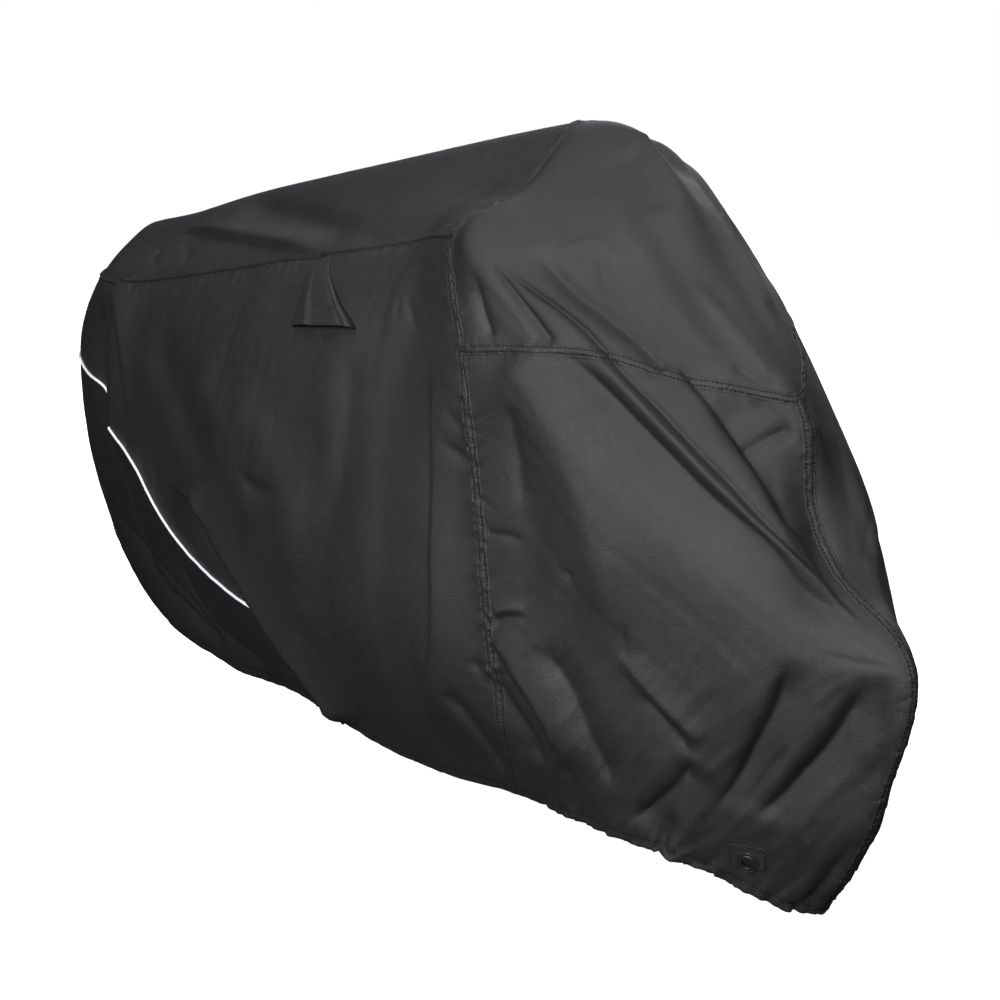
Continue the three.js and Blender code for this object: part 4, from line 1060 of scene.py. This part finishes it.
# Camera
# Seen from the right front, a little above.
CAMERA_AZIMUTH, CAMERA_ELEVATION, CAMERA_DISTANCE = 52.0, 15.0, 6.3
CAMERA_TARGET, CAMERA_LENS = (-0.3179, 0.0, -0.7003), 128.79


def aimed(name, data, azimuth, elevation, distance, target):
    """A camera or lamp that looks at a target, from so many degrees round it and up and so many metres off."""
    a, e = np.radians(azimuth), np.radians(elevation)
    back = Vector((np.sin(a) * np.cos(e), -np.cos(a) * np.cos(e), np.sin(e)))
    obj = bpy.data.objects.new(name, data)
    obj.location = Vector(target) + back * distance
    obj.rotation_euler = back.to_track_quat("Z", "Y").to_euler()
    bpy.context.collection.objects.link(obj)
    return obj


camera = aimed("camera", bpy.data.cameras.new("camera"), CAMERA_AZIMUTH, CAMERA_ELEVATION, CAMERA_DISTANCE,
               CAMERA_TARGET)
camera.data.lens = CAMERA_LENS
bpy.context.scene.camera = camera

# Floor and light
# A plain pale floor under the hem, a broad soft key light, a large soft light overhead and two
# weak fill lights for the left side and the back.
GROUND = -TOP_POINT[2]
FLOOR_HALF = 4.5
FLOOR_GLOW, FLOOR_BOUNCE = (0.86, 0.86, 0.86, 1), (0.05, 0.05, 0.05, 1)
SPOT_SCALE, SPOT_PLACE = (18.0, 18.0, 0.0), (-3.45, -2.52, 0.0)
mesh = bpy.data.meshes.new("floor")
mesh.from_pydata([(x * FLOOR_HALF, y * FLOOR_HALF, GROUND) for x, y in ((-1, -1), (1, -1), (1, 1), (-1, 1))],
                 [], [(0, 1, 2, 3)])
floor = bpy.data.objects.new("floor", mesh)
bpy.context.collection.objects.link(floor)
material = bpy.data.materials.new("pale floor")
nodes, give, add = nodes_of(material)
place = add("TexCoord", "Object")
speckle = add("TexNoise", "Fac", Vector=place, Scale=3.0, Detail=2.0)
colour = add("Mix", 2, data_type="RGBA", _0=speckle, _6=(0.93, 0.93, 0.93, 1), _7=(0.96, 0.96, 0.96, 1))
# The spot under the cover that the eyelet's hole looks down on lies in its shade
under = add("Mapping", "Vector", Vector=place, Location=SPOT_PLACE, Scale=SPOT_SCALE)
away = add("VectorMath", "Value", operation="LENGTH", _0=under)
glow = add("MapRange", "Result", Value=away, From_Min=0.45, From_Max=1.0)
shader = nodes["Principled BSDF"]
give(shader, Base_Color=colour, Roughness=0.9, Specular_IOR_Level=0.1, Emission_Color=FLOOR_GLOW,
     Emission_Strength=glow)
# The floor is lit like the rest, but it throws little light back up under the hem
dull = add("BsdfDiffuse", "BSDF", Color=FLOOR_BOUNCE)
seen = add("Math", 0, operation="MULTIPLY", _0=add("LightPath", "Is Camera Ray"), _1=glow)
either = add("MixShader", "Shader", _0=seen, _1=dull, _2=shader.outputs["BSDF"])
give(nodes["Material Output"], Surface=either)
mesh.materials.append(material)

# Lamps: azimuth and elevation round the object, distance and size in metres, power in watts
Lamp = namedtuple("Lamp", "name azimuth elevation distance width height power")
LAMPS = (
    Lamp("key", 28, 23, 5.0, 1.5, 1.5, 375),
    Lamp("overhead", 0, 85, 5.0, 9.0, 9.0, 300),
    Lamp("left fill", 130, 12, 6.0, 3.0, 3.0, 40),
    Lamp("rear fill", 215, 32, 6.0, 4.0, 4.0, 140),
)
LIGHT_AIM, LIGHT_COLOUR = (-0.3, 0.0, -0.6), (0.95, 0.97, 1.0)
for lamp in LAMPS:
    light = bpy.data.lights.new(lamp.name, "AREA")
    light.shape = "RECTANGLE"
    light.size, light.size_y, light.energy = lamp.width, lamp.height, lamp.power
    light.color = LIGHT_COLOUR
    aimed(lamp.name, light, lamp.azimuth, lamp.elevation, lamp.distance, LIGHT_AIM)

WORLD_SEEN, WORLD_LIGHT = (1.0, 1.0, 1.0, 1), (0.012, 0.012, 0.0125, 1)
world = bpy.data.worlds.new("studio")
nodes, give, add = nodes_of(world)
colour = add("Mix", 2, data_type="RGBA", _0=add("LightPath", "Is Camera Ray"), _6=WORLD_LIGHT, _7=WORLD_SEEN)
give(nodes["Background"], Color=colour)
bpy.context.scene.world = world
bpy.context.scene.view_settings.view_transform = "Standard"
